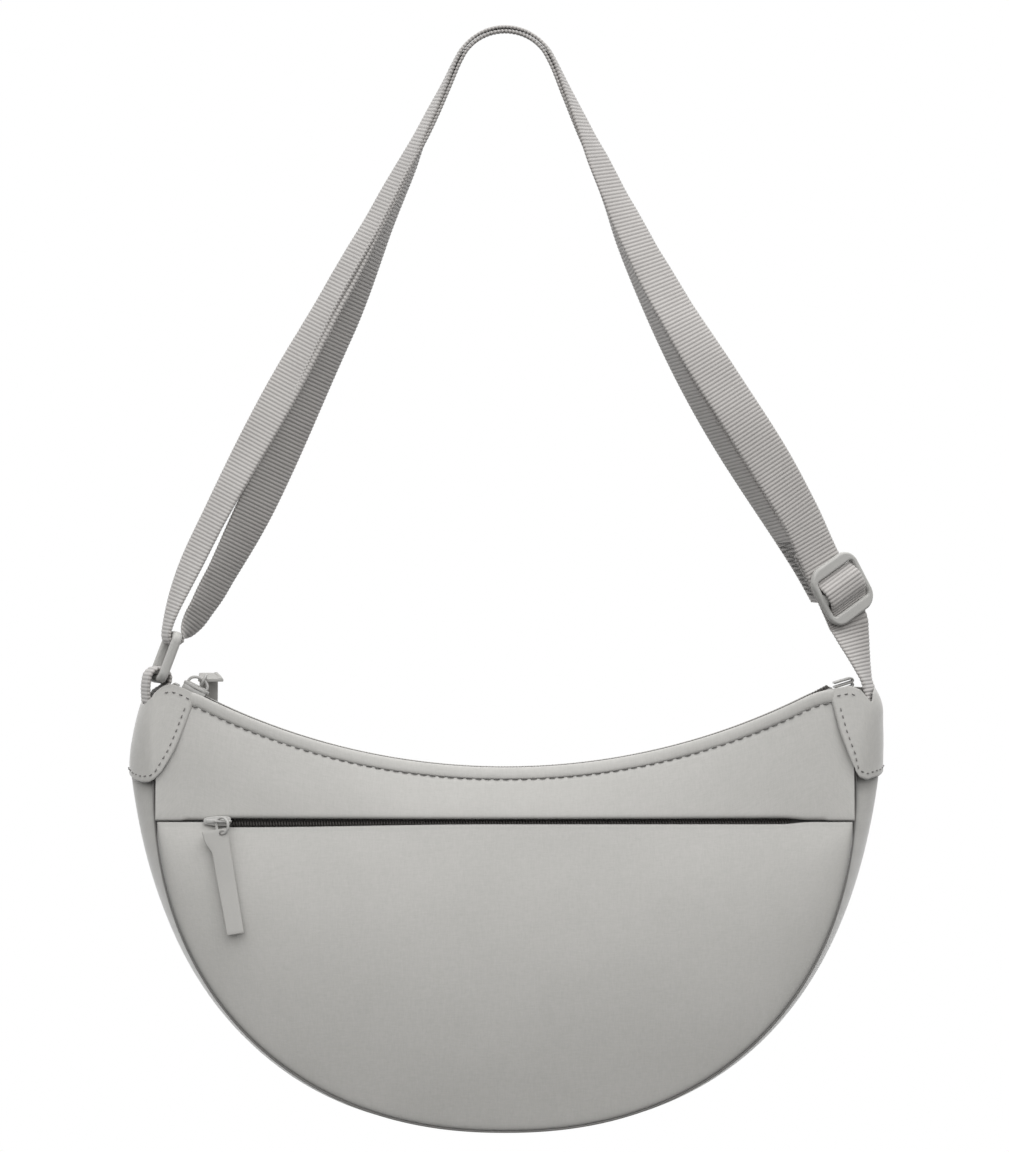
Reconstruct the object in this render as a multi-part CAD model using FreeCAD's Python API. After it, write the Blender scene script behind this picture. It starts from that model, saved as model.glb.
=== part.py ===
import FreeCAD, Part
import math
import os

V = FreeCAD.Vector

# Half moon shoulder bag hanging from its strap. Millimetres, +Z up, front towards -Y.
# The origin is where the strap hangs, on the inside of its arch. The mouth's drop is measured down from
# there, and the other levels from the mouth.

# Webbing strap
webbing_width = 20.0
webbing_thickness = 1.6
layer_gap = 0.2
hang_radius = 20.0
hang_angle = 66.0
hang_steps = 6
arm_steps = 16

# Fabric layers and the gaps that the seams leave between them
shell_thickness = 1.2
trim_thickness = 0.8
lining_thickness = 0.6
lining_inset = 3.0
seam_gap = 0.3
soft_gap = 0.5

# Bag outline, seen from the front
mouth_drop = 312.5
mouth_radius = 287.0
body_height = 152.0
seam_half_width = 148.5
seam_fall = 2.5
seam_power = 2.2
side_swell = 13.6
side_rise = 55.5
side_fall = 1.1
side_power = 2.445
end_bulge = 10.6
end_lean = 3.5

# Bag depth, half on each side of the middle
mouth_half_depth = 8.5
end_half_depth = 11.0
pocket_half_depth = 20.4
bottom_half_depth = 32.0
panel_bulge = 9.0
back_bulge = 12.0
yoke_bulge = 0.8
side_bulge = 1.5

# Front pocket
pocket_line = 22.0
pocket_slot = 3.5
pocket_room = 7.5
zip_back = 0.6
pocket_zip_inset = 27.0

# Top edge, end caps and main zip
hem_width = 4.3
mouth_zip_inset = 10.3
tape_thickness = 0.6
tape_slit = 1.6
tape_sink = 1.2
coil_half_width = 2.8
coil_height = 2.0
coil_slit = 0.3
cap_thickness = 1.0
cap_top_reach = 16.0
cap_low_reach = 1.5
cap_height = 29.0
end_drop_reach = 14.0
left_tab_length = 1.4
right_tab_length = 8.0

# Left ring and its loop of webbing
ring_rise = 5.6
ring_inset = 14.6
ring_tilt = 21.0
ring_yaw = 12.0
ring_length = 23.0
ring_bar = 3.6
ring_depth = 4.0
ring_round = 1.5
ring_play = 0.7
loop_play = 1.6
swing_gap = 0.3

# Strap slider
glide_inset = 13.7
glide_rise = 34.5
glide_angle = 28.0
glide_pitch = 12.0
glide_yaw = 30.0
glide_side = 2.6
glide_bar = 5.1
glide_centre_bar = 4.0
glide_slot = 6.4
glide_thickness = 3.0
glide_round = 7.0
glide_edge = 1.1
straight_run = 34.5
low_shift = 3.4
low_twists = [(0, 12), (0.25, 22), (0.5, 33), (0.75, 45), (1, 58)]
right_twists = [(0, 60), (0.15, 70), (0.3, 66), (0.5, 52), (0.75, 33), (1, 15)]
left_twists = [(0, 15), (0.2, 30), (0.5, 48), (0.75, 32), (1, 12)]
inner_left_twists = [(0, -12), (0.15, 22), (0.35, 50), (0.6, 38), (0.8, 10), (1, 0)]
inner_right_twists = [(0, 0), (0.3, 10), (0.7, 20), (1, 14)]
neck_inset = 3.5
seat_reach = 8.0
sewn_length = 22.0
tail_drop = 4.0
tail_side = 9.0
tail_depth = 13.5

# Zip sliders and their pulls
slider_length = 11.5
slider_width = 9.6
slider_wall = 1.3
slider_plate = 1.4
bail_height = 4.0
bail_length = 9.0
bail_wire = 1.2
pull_shift = 1.3
pocket_bail_length = 6.6
pocket_bail_shift = 2.4
pull_ring_radius = 3.0
pocket_ring_radius = 4.0
pocket_ring_lean = 28.0
pull_wire = 1.2
pull_head = 10.8
pull_width = 7.2
pull_length = 45.0
pull_neck = 8.0
pull_thickness = 1.2
pull_hole = 2.6
pull_edge = 2.4
pull_hang = 9.5
pocket_slider_height = 4.2


def save(shape, name):
    if not shape.isValid() or shape.Volume <= 0:
        print("check", name, shape.isValid(), shape.Volume)
    shape.exportStep("parts/" + name + ".step")
    box = shape.BoundBox
    print(name, len(shape.Solids), round(shape.Volume), [round(v, 1) for v in (
        box.XMin, box.XMax, box.YMin, box.YMax, box.ZMin, box.ZMax)])


def smooth(a, b, t):
    t = min(max(t, 0.0), 1.0)
    return a + (b - a) * t * t * (3 - 2 * t)


def along(pairs, t):
    """A value that eases from one (place, value) pair to the next."""
    for (t0, v0), (t1, v1) in zip(pairs, pairs[1:]):
        if t <= t1:
            return smooth(v0, v1, (t - t0) / (t1 - t0))
    return pairs[-1][1]


def polygon(points):
    return Part.makePolygon(points + points[:1])


def loft(wires, ruled=False):
    return Part.makeLoft(wires, True, ruled)


os.makedirs("parts", exist_ok=True)

# Levels
mouth_z = -mouth_drop
arc_z = mouth_z + mouth_radius
bottom_z = mouth_z - body_height
pocket_z = mouth_z - pocket_line
pocket_zip_half = seam_half_width - pocket_zip_inset
seam_z = mouth_z - seam_fall
side_z = mouth_z + side_rise
side_low = bottom_z - side_fall
side_half_width = seam_half_width + side_swell
mouth_end_z = arc_z - math.sqrt(mouth_radius ** 2 - seam_half_width ** 2)

# Ring: its axis leans to the right at the top
ring_x = -(seam_half_width + end_bulge - ring_inset)
ring_z = mouth_end_z + ring_rise
tilt = math.radians(ring_tilt)
yaw = math.radians(ring_yaw)
ring_up = V(math.sin(tilt) * math.cos(yaw), math.sin(tilt) * math.sin(yaw), math.cos(tilt))
ring_side = V(-math.sin(yaw), math.cos(yaw), 0)
ring_face = ring_up.cross(ring_side) * -1
ring_centre = V(ring_x, 0, ring_z)
bar_reach = (ring_length - ring_bar) / 2
top_bar = ring_centre + ring_up * bar_reach
low_bar = ring_centre - ring_up * bar_reach
ring_half = webbing_width / 2 + ring_play + ring_bar
bar_radius = math.hypot(ring_bar, ring_depth) / 2 - ring_round * (math.sqrt(2) - 1)

# The bag swings about a line along X at the ring's lower bar, and its ends stay below that swing
swing_z = low_bar.z
swing_radius = math.hypot(ring_half, ring_depth / 2) + swing_gap
seat_z = swing_z - swing_radius - swing_gap
end_z = seat_z - webbing_thickness - seam_gap
neck_x = seam_half_width + end_bulge - neck_inset


def superellipse_x(z, half, level, low, power):
    u = min(max((level - z) / (level - low), 0.0), 1.0)
    return half * (1 - u ** power) ** (1 / power)


def seam_x(z):
    return superellipse_x(z, seam_half_width, seam_z, bottom_z, seam_power)


def seam_low(x, inset=0.0):
    w = min(abs(x) / (seam_half_width - inset), 1.0)
    return seam_z - (seam_z - bottom_z - inset) * (1 - w ** seam_power) ** (1 / seam_power)


def half_depth(z):
    """Half the bag's depth at its side seam."""
    u = min(max((end_z - z) / (end_z - bottom_z), 0.0), 1.0)
    return end_half_depth + (bottom_half_depth - end_half_depth) * math.sin(math.pi / 2 * u)


def mouth_top(x):
    """The top edge: an arc across the mouth that drops to the bag's ends."""
    z = arc_z - math.sqrt(mouth_radius ** 2 - x ** 2)
    start = seam_half_width - end_drop_reach
    return z - smooth(0, mouth_end_z - end_z, (abs(x) - start) / end_drop_reach)


def mouth_depth(x):
    return mouth_half_depth + (end_half_depth - mouth_half_depth) * (x / seam_half_width) ** 2


def crown(x, middle, edge, half):
    return edge + (middle - edge) * max(1 - (x / half) ** 2, 0.0) ** 0.7


class Bow:
    """An arc in the plane of depth and height, from top to low, that bows outwards by rise."""

    def __init__(self, top, low, rise):
        (d0, z0), (d1, z1) = top, low
        chord = math.hypot(d1 - d0, z1 - z0)
        self.radius = chord ** 2 / (8 * rise) + rise / 2
        out = ((z0 - z1) / chord, (d1 - d0) / chord)
        back = self.radius - rise
        self.d = (d0 + d1) / 2 - out[0] * back
        self.z = (z0 + z1) / 2 - out[1] * back
        self.a0 = math.atan2(z0 - self.z, d0 - self.d)
        self.a1 = math.atan2(z1 - self.z, d1 - self.d)

    def depth(self, z):
        return self.d + math.sqrt(max(self.radius ** 2 - (z - self.z) ** 2, 0.0))

    def at(self, angle, offset, x, side):
        r = self.radius + offset
        return V(x, side * (self.d + r * math.cos(angle)), self.z + r * math.sin(angle))

    def band(self, x, side, outer, inner):
        """A closed wire between two offsets from the arc."""
        middle = (self.a0 + self.a1) / 2
        o = [self.at(a, outer, x, side) for a in (self.a0, middle, self.a1)]
        i = [self.at(a, inner, x, side) for a in (self.a1, middle, self.a0)]
        edges = [Part.Arc(*o).toShape(), Part.LineSegment(o[2], i[0]).toShape(),
                 Part.Arc(*i).toShape(), Part.LineSegment(i[2], o[0]).toShape()]
        return Part.Wire(edges)


def stations(half, count):
    return [half * math.sin(math.pi / 2 * i / count) for i in range(-count, count + 1)]


def yoke_bow(x, drop=0.0, keep=None):
    """The front yoke from the top edge, less drop, to the pocket line or for keep down the edge."""
    top = mouth_top(x)
    whole = Bow((mouth_depth(x), top), (pocket_half_depth, pocket_z + pocket_slot / 2), yoke_bulge)
    low = top - keep if keep else pocket_z + pocket_slot / 2
    if not drop and not keep:
        return whole
    return Bow((whole.depth(top - drop), top - drop), (whole.depth(low), low), yoke_bulge / 20)


def panel_bow(x):
    low = seam_low(x)
    rise = crown(x, panel_bulge, side_bulge / 3, panel_half)
    return Bow((pocket_half_depth, pocket_z - pocket_slot / 2), (half_depth(low), low), rise)


def back_bow(x):
    low = seam_low(x)
    return Bow((mouth_depth(x), mouth_top(x)), (half_depth(low), low),
               crown(x, back_bulge, side_bulge, seam_half_width))


def inner_bow(x, top, low_in, rise, edge_rise):
    """A layer inside the bag, from a top place to just inside the bottom seam."""
    low = seam_low(x, lining_inset)
    return Bow(top, (half_depth(low) - low_in, low), crown(x, rise, edge_rise, seam_half_width))


yoke_half = seam_x(pocket_z)
panel_half = seam_x(pocket_z - 2.5 * pocket_slot)
hem_half = seam_half_width - cap_top_reach - cap_low_reach

front_yoke = loft([yoke_bow(x).band(x, -1, 0, -shell_thickness) for x in stations(yoke_half, 14)])
front_panel = loft([panel_bow(x).band(x, -1, 0, -shell_thickness) for x in stations(panel_half, 9)])
back_panel = loft([back_bow(x).band(x, 1, 0, -shell_thickness) for x in stations(yoke_half, 14)])
save(front_yoke, "front_yoke")
save(front_panel, "front_panel")
save(back_panel, "back_panel")

# Folded hems along the two top edges
hem_out = seam_gap + trim_thickness
front_hem = loft([yoke_bow(x, 0.0, hem_width).band(x, -1, hem_out, seam_gap)
                  for x in stations(hem_half, 7)])
back_hem = loft([Bow((back_bow(x).depth(mouth_top(x)), mouth_top(x)),
                     (back_bow(x).depth(mouth_top(x) - hem_width), mouth_top(x) - hem_width),
                     yoke_bulge / 20).band(x, 1, hem_out, seam_gap) for x in stations(hem_half, 7)])
save(front_hem, "front_top_hem")
save(back_hem, "back_top_hem")


def side_reach(x, z, nx, nz):
    """How far the gusset bulges past the seam, along the seam's outward normal."""
    low, high = 0.0, end_bulge
    for _ in range(30):
        middle = (low + high) / 2
        px, pz = abs(x) + nx * middle, z + nz * middle
        u = max((side_z - pz) / (side_z - side_low), 0.0)
        if (px / side_half_width) ** side_power + u ** side_power < 1:
            low = middle
        else:
            high = middle
    return low


def gusset_places(count):
    """Places along the seam from the bag's right end to its bottom: x, z and outward normal."""
    places = []
    for i in range(3):
        z = end_z + (seam_z - end_z) * i / 3
        lean = end_lean * ((z - seam_z) / (end_z - seam_z)) ** 2
        places.append((seam_half_width, z, 1.0, 0.0, end_bulge - lean))
    for i in range(count + 1):
        t = math.pi / 2 * i / count
        x = seam_half_width * math.cos(t) ** (2 / seam_power)
        z = seam_z - (seam_z - bottom_z) * math.sin(t) ** (2 / seam_power)
        gx = (x / seam_half_width) ** (seam_power - 1) / seam_half_width
        gz = -((seam_z - z) / (seam_z - bottom_z)) ** (seam_power - 1) / (seam_z - bottom_z)
        size = math.hypot(gx, gz)
        nx, nz = gx / size, gz / size
        places.append((x, z, nx, nz, max(side_reach(x, z, nx, nz), side_bulge)))
    return places


def gusset_wire(place, mirror, outer, inner, trim):
    x, z, nx, nz, rise = place
    half = half_depth(z) - trim
    bow = Bow((0.0, half), (0.0, -half), rise)
    middle = (bow.a0 + bow.a1) / 2

    def at(angle, offset):
        r = bow.radius + offset
        out = bow.d + r * math.cos(angle)
        return V(mirror * (x + nx * out), bow.z + r * math.sin(angle), z + nz * out)

    o = [at(a, outer) for a in (bow.a0, middle, bow.a1)]
    i = [at(a, inner) for a in (bow.a1, middle, bow.a0)]
    return Part.Wire([Part.Arc(*o).toShape(), Part.LineSegment(o[2], i[0]).toShape(),
                      Part.Arc(*i).toShape(), Part.LineSegment(i[2], o[0]).toShape()])


def gusset_loft(outer, inner, trim, count=10):
    right = gusset_places(count)
    wires = [gusset_wire(p, 1, outer, inner, trim) for p in right]
    wires += [gusset_wire(p, -1, outer, inner, trim) for p in reversed(right[:-1])]
    return loft(wires)


gusset_trim = shell_thickness + soft_gap
gusset = gusset_loft(0, -shell_thickness, gusset_trim)
save(gusset, "gusset")
lining_out = -shell_thickness - seam_gap
gusset_lining = gusset_loft(lining_out, lining_out - lining_thickness, gusset_trim + 4 * soft_gap)
save(gusset_lining, "gusset_lining")

# Lining panels and the pocket's inner wall
lining_half = seam_half_width - cap_top_reach
lining_drop = tape_sink + tape_thickness + seam_gap
front_lining = loft([inner_bow(x, (mouth_depth(x) - 2.5 * shell_thickness, mouth_top(x) - lining_drop),
                               10 * shell_thickness, 0.6, 0.4).band(x, -1, 0, -lining_thickness)
                     for x in stations(lining_half, 7)])
save(front_lining, "front_lining")
back_in = shell_thickness + soft_gap
back_lining = loft([inner_bow(x, (mouth_depth(x) - back_in, mouth_top(x) - lining_drop), 2 * back_in,
                              back_bulge - soft_gap, side_bulge).band(x, 1, 0, -lining_thickness)
                    for x in stations(lining_half, 7)])
save(back_lining, "back_lining")
pocket_wall_half = pocket_zip_half + slider_length / 2 + soft_gap
pocket_top = (pocket_half_depth - pocket_room, pocket_z + pocket_slot)
pocket_wall = loft([inner_bow(x, pocket_top, 3 * shell_thickness, 3.0, 0.4).band(
    x, -1, 0, -lining_thickness) for x in stations(pocket_wall_half, 7)])
save(pocket_wall, "pocket_wall")


# End caps: patches that wrap the bag's ends, front to back
def front_depth(x, z):
    return yoke_bow(min(max(x, -yoke_half), yoke_half)).depth(z)


def cap_wire(level, mirror):
    z = end_z - cap_height * level
    inset = smooth(cap_top_reach, cap_low_reach, level ** 1.4)
    lean = end_lean * max((z - seam_z) / (end_z - seam_z), 0.0) ** 2
    x0 = seam_half_width - inset
    x1 = seam_half_width + soft_gap
    x2 = seam_half_width + end_bulge - lean + seam_gap
    d0 = max(front_depth(x0, z), back_bow(x0).depth(z)) + seam_gap
    d1 = max(half_depth(z), front_depth(x1, z), back_bow(yoke_half).depth(z)) + seam_gap
    b0, b1 = d0 + 2 * soft_gap, d1 + soft_gap
    t = cap_thickness
    outer = [V(x0, -d0 - t, z), V(x1 + t, -d1 - t, z), V(x2 + t, 0, z), V(x1 + t, b1 + t, z),
             V(x0, b0 + t, z)]
    inner = [V(x0, b0, z), V(x1, b1, z), V(x2, 0, z), V(x1, -d1, z), V(x0, -d0, z)]
    outer = [V(mirror * p.x, p.y, p.z) for p in outer]
    inner = [V(mirror * p.x, p.y, p.z) for p in inner]
    return Part.Wire([Part.LineSegment(outer[0], outer[1]).toShape(),
                      Part.Arc(outer[1], outer[2], outer[3]).toShape(),
                      Part.LineSegment(outer[3], outer[4]).toShape(),
                      Part.LineSegment(outer[4], inner[0]).toShape(),
                      Part.LineSegment(inner[0], inner[1]).toShape(),
                      Part.Arc(inner[1], inner[2], inner[3]).toShape(),
                      Part.LineSegment(inner[3], inner[4]).toShape(),
                      Part.LineSegment(inner[4], outer[0]).toShape()])


def cap_ear(bow_at, side, mirror, gap):
    """The cap's wall above the bag's end, up to the top edge."""
    wires = []
    for i in range(5):
        x = seam_half_width - cap_top_reach + (cap_top_reach - 0.4 * end_drop_reach) * i / 4
        bow = bow_at(x)
        wires.append(Bow((bow.depth(mouth_top(x)), mouth_top(x)), (bow.depth(end_z - 2), end_z - 2),
                         yoke_bulge / 20).band(mirror * x, side, gap + cap_thickness, gap))
    return loft(wires, True)


for mirror, name in ((-1, "left_end_cap"), (1, "right_end_cap")):
    cap = loft([cap_wire(i / 6, mirror) for i in range(7)])
    cap = cap.fuse([cap_ear(yoke_bow, -1, mirror, soft_gap), cap_ear(back_bow, 1, mirror, 2 * soft_gap)])
    save(cap.removeSplitter(), name)

# Folded webbing sewn across the two ends, right under the strap
seat_half = end_half_depth - 2 * shell_thickness
for x, side, name in ((low_bar.x, -1, "left_strap_seat"), (neck_x, 1, "right_strap_seat")):
    far = side * x + webbing_thickness
    ends = sorted((side * (far - seat_reach - webbing_thickness), side * far))
    save(Part.makeBox(ends[1] - ends[0], 2 * seat_half, webbing_thickness,
                      V(ends[0], -seat_half, seat_z - webbing_thickness)), name)


# Main zip: tapes and coils that follow the mouth's arc
def arc_strip(y0, y1, r0, r1, a0, a1):
    """A strip between two radii about the mouth's centre, over angles measured from straight down."""
    def corner(y, r):
        t = math.radians(a0)
        return V(r * math.sin(t), y, arc_z - r * math.cos(t))
    face = Part.Face(polygon([corner(y0, r0), corner(y1, r0), corner(y1, r1), corner(y0, r1)]))
    return face.revolve(V(0, 0, arc_z), V(0, -1, 0), a1 - a0)


tape_top = mouth_radius + tape_sink
coil_low = tape_top - 0.2
coil_top = coil_low - coil_height
tape_edge = mouth_half_depth - shell_thickness - seam_gap
zip_half = math.degrees(math.asin((seam_half_width - mouth_zip_inset) / mouth_radius))
slider_half_angle = math.degrees(slider_length / 2 / mouth_radius)
slider_angle = -zip_half + slider_half_angle + 0.2
for side, name in ((-1, "front"), (1, "back")):
    y0, y1 = sorted((side * tape_slit / 2, side * tape_edge))
    save(arc_strip(y0, y1, tape_top, tape_top + tape_thickness, -zip_half, zip_half),
         "main_zip_" + name + "_tape")
    y0, y1 = sorted((side * coil_slit / 2, side * coil_half_width))
    save(arc_strip(y0, y1, coil_top, coil_low, slider_angle, zip_half),
         "main_zip_" + name + "_coil")


def on_mouth(shape, angle):
    """Carries a shape built about the arc's lowest point to a place on the arc."""
    shape.translate(V(0, 0, arc_z - mouth_radius))
    shape.rotate(V(0, 0, arc_z), V(0, 1, 0), -angle)
    return shape


end_tab_width = 2 * tape_edge
for side, tab_length, name in ((-1, left_tab_length, "left_zip_end_tab"),
                               (1, right_tab_length, "right_zip_end_tab")):
    tab = Part.makeBox(tab_length, end_tab_width, shell_thickness,
                       V(-tab_length / 2, -end_tab_width / 2, -tape_sink - shell_thickness))
    save(on_mouth(tab, side * (zip_half + math.degrees((tab_length / 2 + seam_gap) / mouth_radius))), name)


# Slider of the main zip: a plate over the coils, a plate under the tapes and a post between
def box(x0, x1, y0, y1, z0, z1):
    return Part.makeBox(x1 - x0, y1 - y0, z1 - z0, V(x0, y0, z0))


def bail(length, height, wire):
    """An arch of square wire along X, standing on z = 0."""
    outer = [V(-length / 2, 0, 0), V(-length / 2 + wire, 0, height),
             V(length / 2 - wire, 0, height), V(length / 2, 0, 0)]
    inner = [V(length / 2 - wire, 0, 0), V(length / 2 - 2 * wire, 0, height - wire),
             V(-length / 2 + 2 * wire, 0, height - wire), V(-length / 2 + wire, 0, 0)]
    arch = Part.Face(polygon(outer + inner)).extrude(V(0, wire, 0))
    arch.translate(V(0, -wire / 2, 0))
    return arch


half = slider_length / 2
coil_rise = mouth_radius - coil_top
plate_low = coil_rise + seam_gap
under = -tape_sink - tape_thickness - seam_gap
body = box(-half, half, -slider_width / 2, slider_width / 2, plate_low, plate_low + slider_plate)
for side in (-1, 1):
    wall = sorted((side * slider_width / 2, side * (slider_width / 2 - slider_wall)))
    body = body.fuse(box(-half, half, wall[0], wall[1], -tape_sink + seam_gap, plate_low))
body = body.fuse(box(-half, half, -slider_width / 2, slider_width / 2, under - slider_plate, under))
post = tape_slit / 2 - seam_gap
body = body.fuse(box(-half, -half / 3, -post, post, under, plate_low))
arch = bail(bail_length, bail_height, bail_wire)
arch.translate(V(0, 0, plate_low + slider_plate))
body = body.fuse(arch).removeSplitter()
save(on_mouth(body, slider_angle), "main_zip_slider")

# Pull of the main zip: a wire ring round the bail and a tab that falls over the back edge
bridge = plate_low + slider_plate + bail_height - bail_wire / 2
ring_radius = pull_ring_radius - pull_wire / 2
ring_shift = ring_radius - pull_wire / 2 - bail_wire / math.sqrt(2)
wire_ring = Part.makeTorus(ring_radius, pull_wire / 2, V(pull_shift, ring_shift, bridge), V(1, 0, 0))
save(on_mouth(wire_ring, slider_angle), "main_pull_ring")

hole_y = ring_shift + ring_radius
edge_y = hole_y - pull_hole / 2 - pull_wire * 0.7
flat = pull_neck - 1.0
fall = 72.0
turn = pull_head / 2
places = [(edge_y, bridge, 0.0), (edge_y + flat, bridge, 0.0)]
for i in range(1, 7):
    a = math.radians(fall * i / 6)
    places.append((edge_y + flat + turn * math.sin(a), bridge - turn * (1 - math.cos(a)), fall * i / 6))
hang_length = pull_length - flat - turn * math.radians(fall)
y, z, _ = places[-1]
for step in (0.5, 1.0):
    places.append((y + hang_length * step * math.cos(math.radians(fall)),
                   z - hang_length * step * math.sin(math.radians(fall)), fall))


def tab_wire(i):
    y, z, dip = places[i]
    gone = sum(math.hypot(b[0] - a[0], b[1] - a[1]) for a, b in zip(places[:i], places[1:i + 1]))
    w = V(smooth(pull_head, pull_width, gone / (2 * pull_neck)), 0, 0)
    a = math.radians(dip)
    t = V(0, math.sin(a), math.cos(a)) * (pull_thickness / 2)
    c = V(-pull_edge, y, z)
    return polygon([c - t, c + w - t, c + w + t, c + t])


tab = loft([tab_wire(i) for i in range(len(places))], True)
tab = tab.cut(Part.makeCylinder(pull_hole / 2, 4 * pull_thickness, V(0, hole_y, bridge - 2 * pull_thickness)))
lift = math.radians(slider_angle)
tab.translate(V((mouth_radius - bridge) * math.sin(lift) + pull_shift * math.cos(lift), 0,
                arc_z - (mouth_radius - bridge) * math.cos(lift) + pull_shift * math.sin(lift) - bridge))
save(tab, "main_pull_tab")

# Pocket zip behind the slot between yoke and pocket front
zip_front = pocket_half_depth - shell_thickness - seam_gap - zip_back
tape_low = zip_front - coil_height - 0.2
lap = 3.5
post_half = pocket_slot / 2 - soft_gap
for side, name in ((1, "upper"), (-1, "lower")):
    z0, z1 = sorted((side * (post_half + seam_gap), side * (pocket_slot / 2 + lap)))
    tape_y = zip_front - lap * math.tan(math.radians(28)) - coil_height if side > 0 else tape_low
    save(box(-pocket_zip_half - half, pocket_zip_half + half, -tape_y, -tape_y + tape_thickness,
             pocket_z + z0, pocket_z + z1), "pocket_zip_" + name + "_tape")
    z0, z1 = sorted((side * coil_slit / 2, side * coil_half_width))
    save(box(-pocket_zip_half + half, pocket_zip_half, -tape_low - coil_height, -tape_low,
             pocket_z + z0, pocket_z + z1), "pocket_zip_" + name + "_coil")

# Pocket slider in the slot, with its bail, ring and tab
plate_y = pocket_half_depth + seam_gap
slider_x = -pocket_zip_half
high = pocket_slider_height / 2
body = box(-half, half, -plate_y - slider_plate, -plate_y, -high, high)
body = body.fuse(box(-half, -half / 3, -plate_y, -tape_low + tape_thickness + seam_gap, -post_half,
                     post_half))
arch = bail(pocket_bail_length, bail_height, bail_wire)
arch.rotate(V(0, 0, 0), V(1, 0, 0), 90)
arch.translate(V(pocket_bail_shift, -plate_y - slider_plate, 0))
body = body.fuse(arch).removeSplitter()
body.translate(V(slider_x, 0, pocket_z))
save(body, "pocket_zip_slider")

# The pocket's pull hangs in front of the panel, clear of it all along the zip
ring_y = -(plate_y + slider_plate + bail_height - bail_wire / 2)
pocket_ring = pocket_ring_radius - pull_wire / 2
pocket_shift = pocket_ring - pull_wire / 2 - bail_wire / math.sqrt(2)
lean = math.radians(pocket_ring_lean)
pull_x = slider_x + pocket_bail_shift
ring_at = V(pull_x, ring_y - pocket_shift * math.sin(lean), pocket_z - pocket_shift * math.cos(lean))
save(Part.makeTorus(pocket_ring, pull_wire / 2, ring_at, V(1, 0, 0)), "pocket_pull_ring")

hang = ring_at - V(0, 0, pocket_ring)
head_rise = hole_y - edge_y
clear = pull_thickness / 2 + soft_gap
slope = 0.0
for i in range(1, 11):
    down = (pull_length - head_rise) * i / 10
    out = panel_bow(0).depth(hang.z - down) + clear + hang.y
    slope = max(slope, math.atan2(out, down))
low = head_rise - pull_length
head_x = pull_edge - pull_head
strip_x = pull_edge - pull_width
outline = [V(head_x, 0, head_rise), V(pull_edge, 0, head_rise), V(pull_edge, 0, low), V(strip_x, 0, low),
           V(strip_x, 0, head_rise - 1.4 * pull_neck), V(head_x, 0, head_rise - 0.5 * pull_neck)]
tab = Part.Face(polygon(outline)).extrude(V(0, pull_thickness, 0))
tab.translate(V(0, -pull_thickness / 2, 0))
tab = tab.cut(Part.makeCylinder(pull_hole / 2, 4 * pull_thickness, V(0, -2 * pull_thickness, 0), V(0, 1, 0)))
tab.rotate(V(0, 0, 0), V(0, 1, 0), -pull_hang)
tab.rotate(V(0, 0, 0), V(1, 0, 0), -math.degrees(slope))
tab.translate(hang)
save(tab, "pocket_pull_tab")

# Strap ring, a moulded rectangle, and the loop of webbing that ties it to the bag
corner = ring_bar + 1.0


def rounded(width, height, radius, depth):
    """A rounded block, centred, with its depth along Y."""
    block = box(-width / 2, width / 2, -depth / 2, depth / 2, -height / 2, height / 2)
    upright = [e for e in block.Edges if abs(e.tangentAt(e.FirstParameter).y) > 0.9]
    return block.makeFillet(radius, upright)


def place(shape, along_x, along_y, along_z, centre):
    """Sets a shape's own axes along three given directions."""
    matrix = FreeCAD.Matrix(along_x.x, along_y.x, along_z.x, centre.x,
                            along_x.y, along_y.y, along_z.y, centre.y,
                            along_x.z, along_y.z, along_z.z, centre.z, 0, 0, 0, 1)
    shape.Placement = FreeCAD.Placement(matrix).multiply(shape.Placement)
    return shape


ring = rounded(2 * ring_half, ring_length, corner, ring_depth)
ring = ring.cut(rounded(2 * (ring_half - ring_bar), ring_length - 2 * ring_bar, 1.0, 2 * ring_depth))
ring = ring.makeFillet(ring_round, [e for e in ring.Edges
                                    if abs(abs(e.CenterOfMass.y) - ring_depth / 2) < 1e-6])
save(place(ring, ring_side, ring_face, ring_up, ring_centre), "strap_ring")

loop_in = bar_radius + loop_play
loop_out = loop_in + webbing_thickness
foot_z = -swing_radius
point_z = foot_z + 2 * webbing_thickness


def drop_shape(radius, tip_half, tip_z):
    """A circle drawn down to a narrow foot: the loop seen along the ring's bar."""
    reach = -tip_z
    a = math.asin(min(max((radius - tip_half) / reach, -0.9), 0.9))
    p = V(radius * math.cos(a), 0, radius * math.sin(a) * -1)
    q = V(-p.x, 0, p.z)
    edges = [Part.Arc(p, V(0, 0, radius), q).toShape(),
             Part.LineSegment(q, V(-tip_half, 0, tip_z)).toShape(),
             Part.LineSegment(V(-tip_half, 0, tip_z), V(tip_half, 0, tip_z)).toShape(),
             Part.LineSegment(V(tip_half, 0, tip_z), p).toShape()]
    return Part.Face(Part.Wire(edges))


loop = drop_shape(loop_out, webbing_thickness, foot_z - 5).extrude(V(0, webbing_width, 0))
loop = loop.cut(drop_shape(loop_in, 0.2, point_z).extrude(V(0, webbing_width, 0)))
loop.translate(V(0, -webbing_width / 2, 0))
loop.rotate(V(0, 0, 0), V(0, 0, 1), ring_yaw)
loop.translate(low_bar)
foot = Part.makeCylinder(swing_radius, 8 * loop_out, V(low_bar.x - 4 * loop_out, 0, swing_z), V(1, 0, 0))
save(loop.common(foot), "ring_loop")

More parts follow.
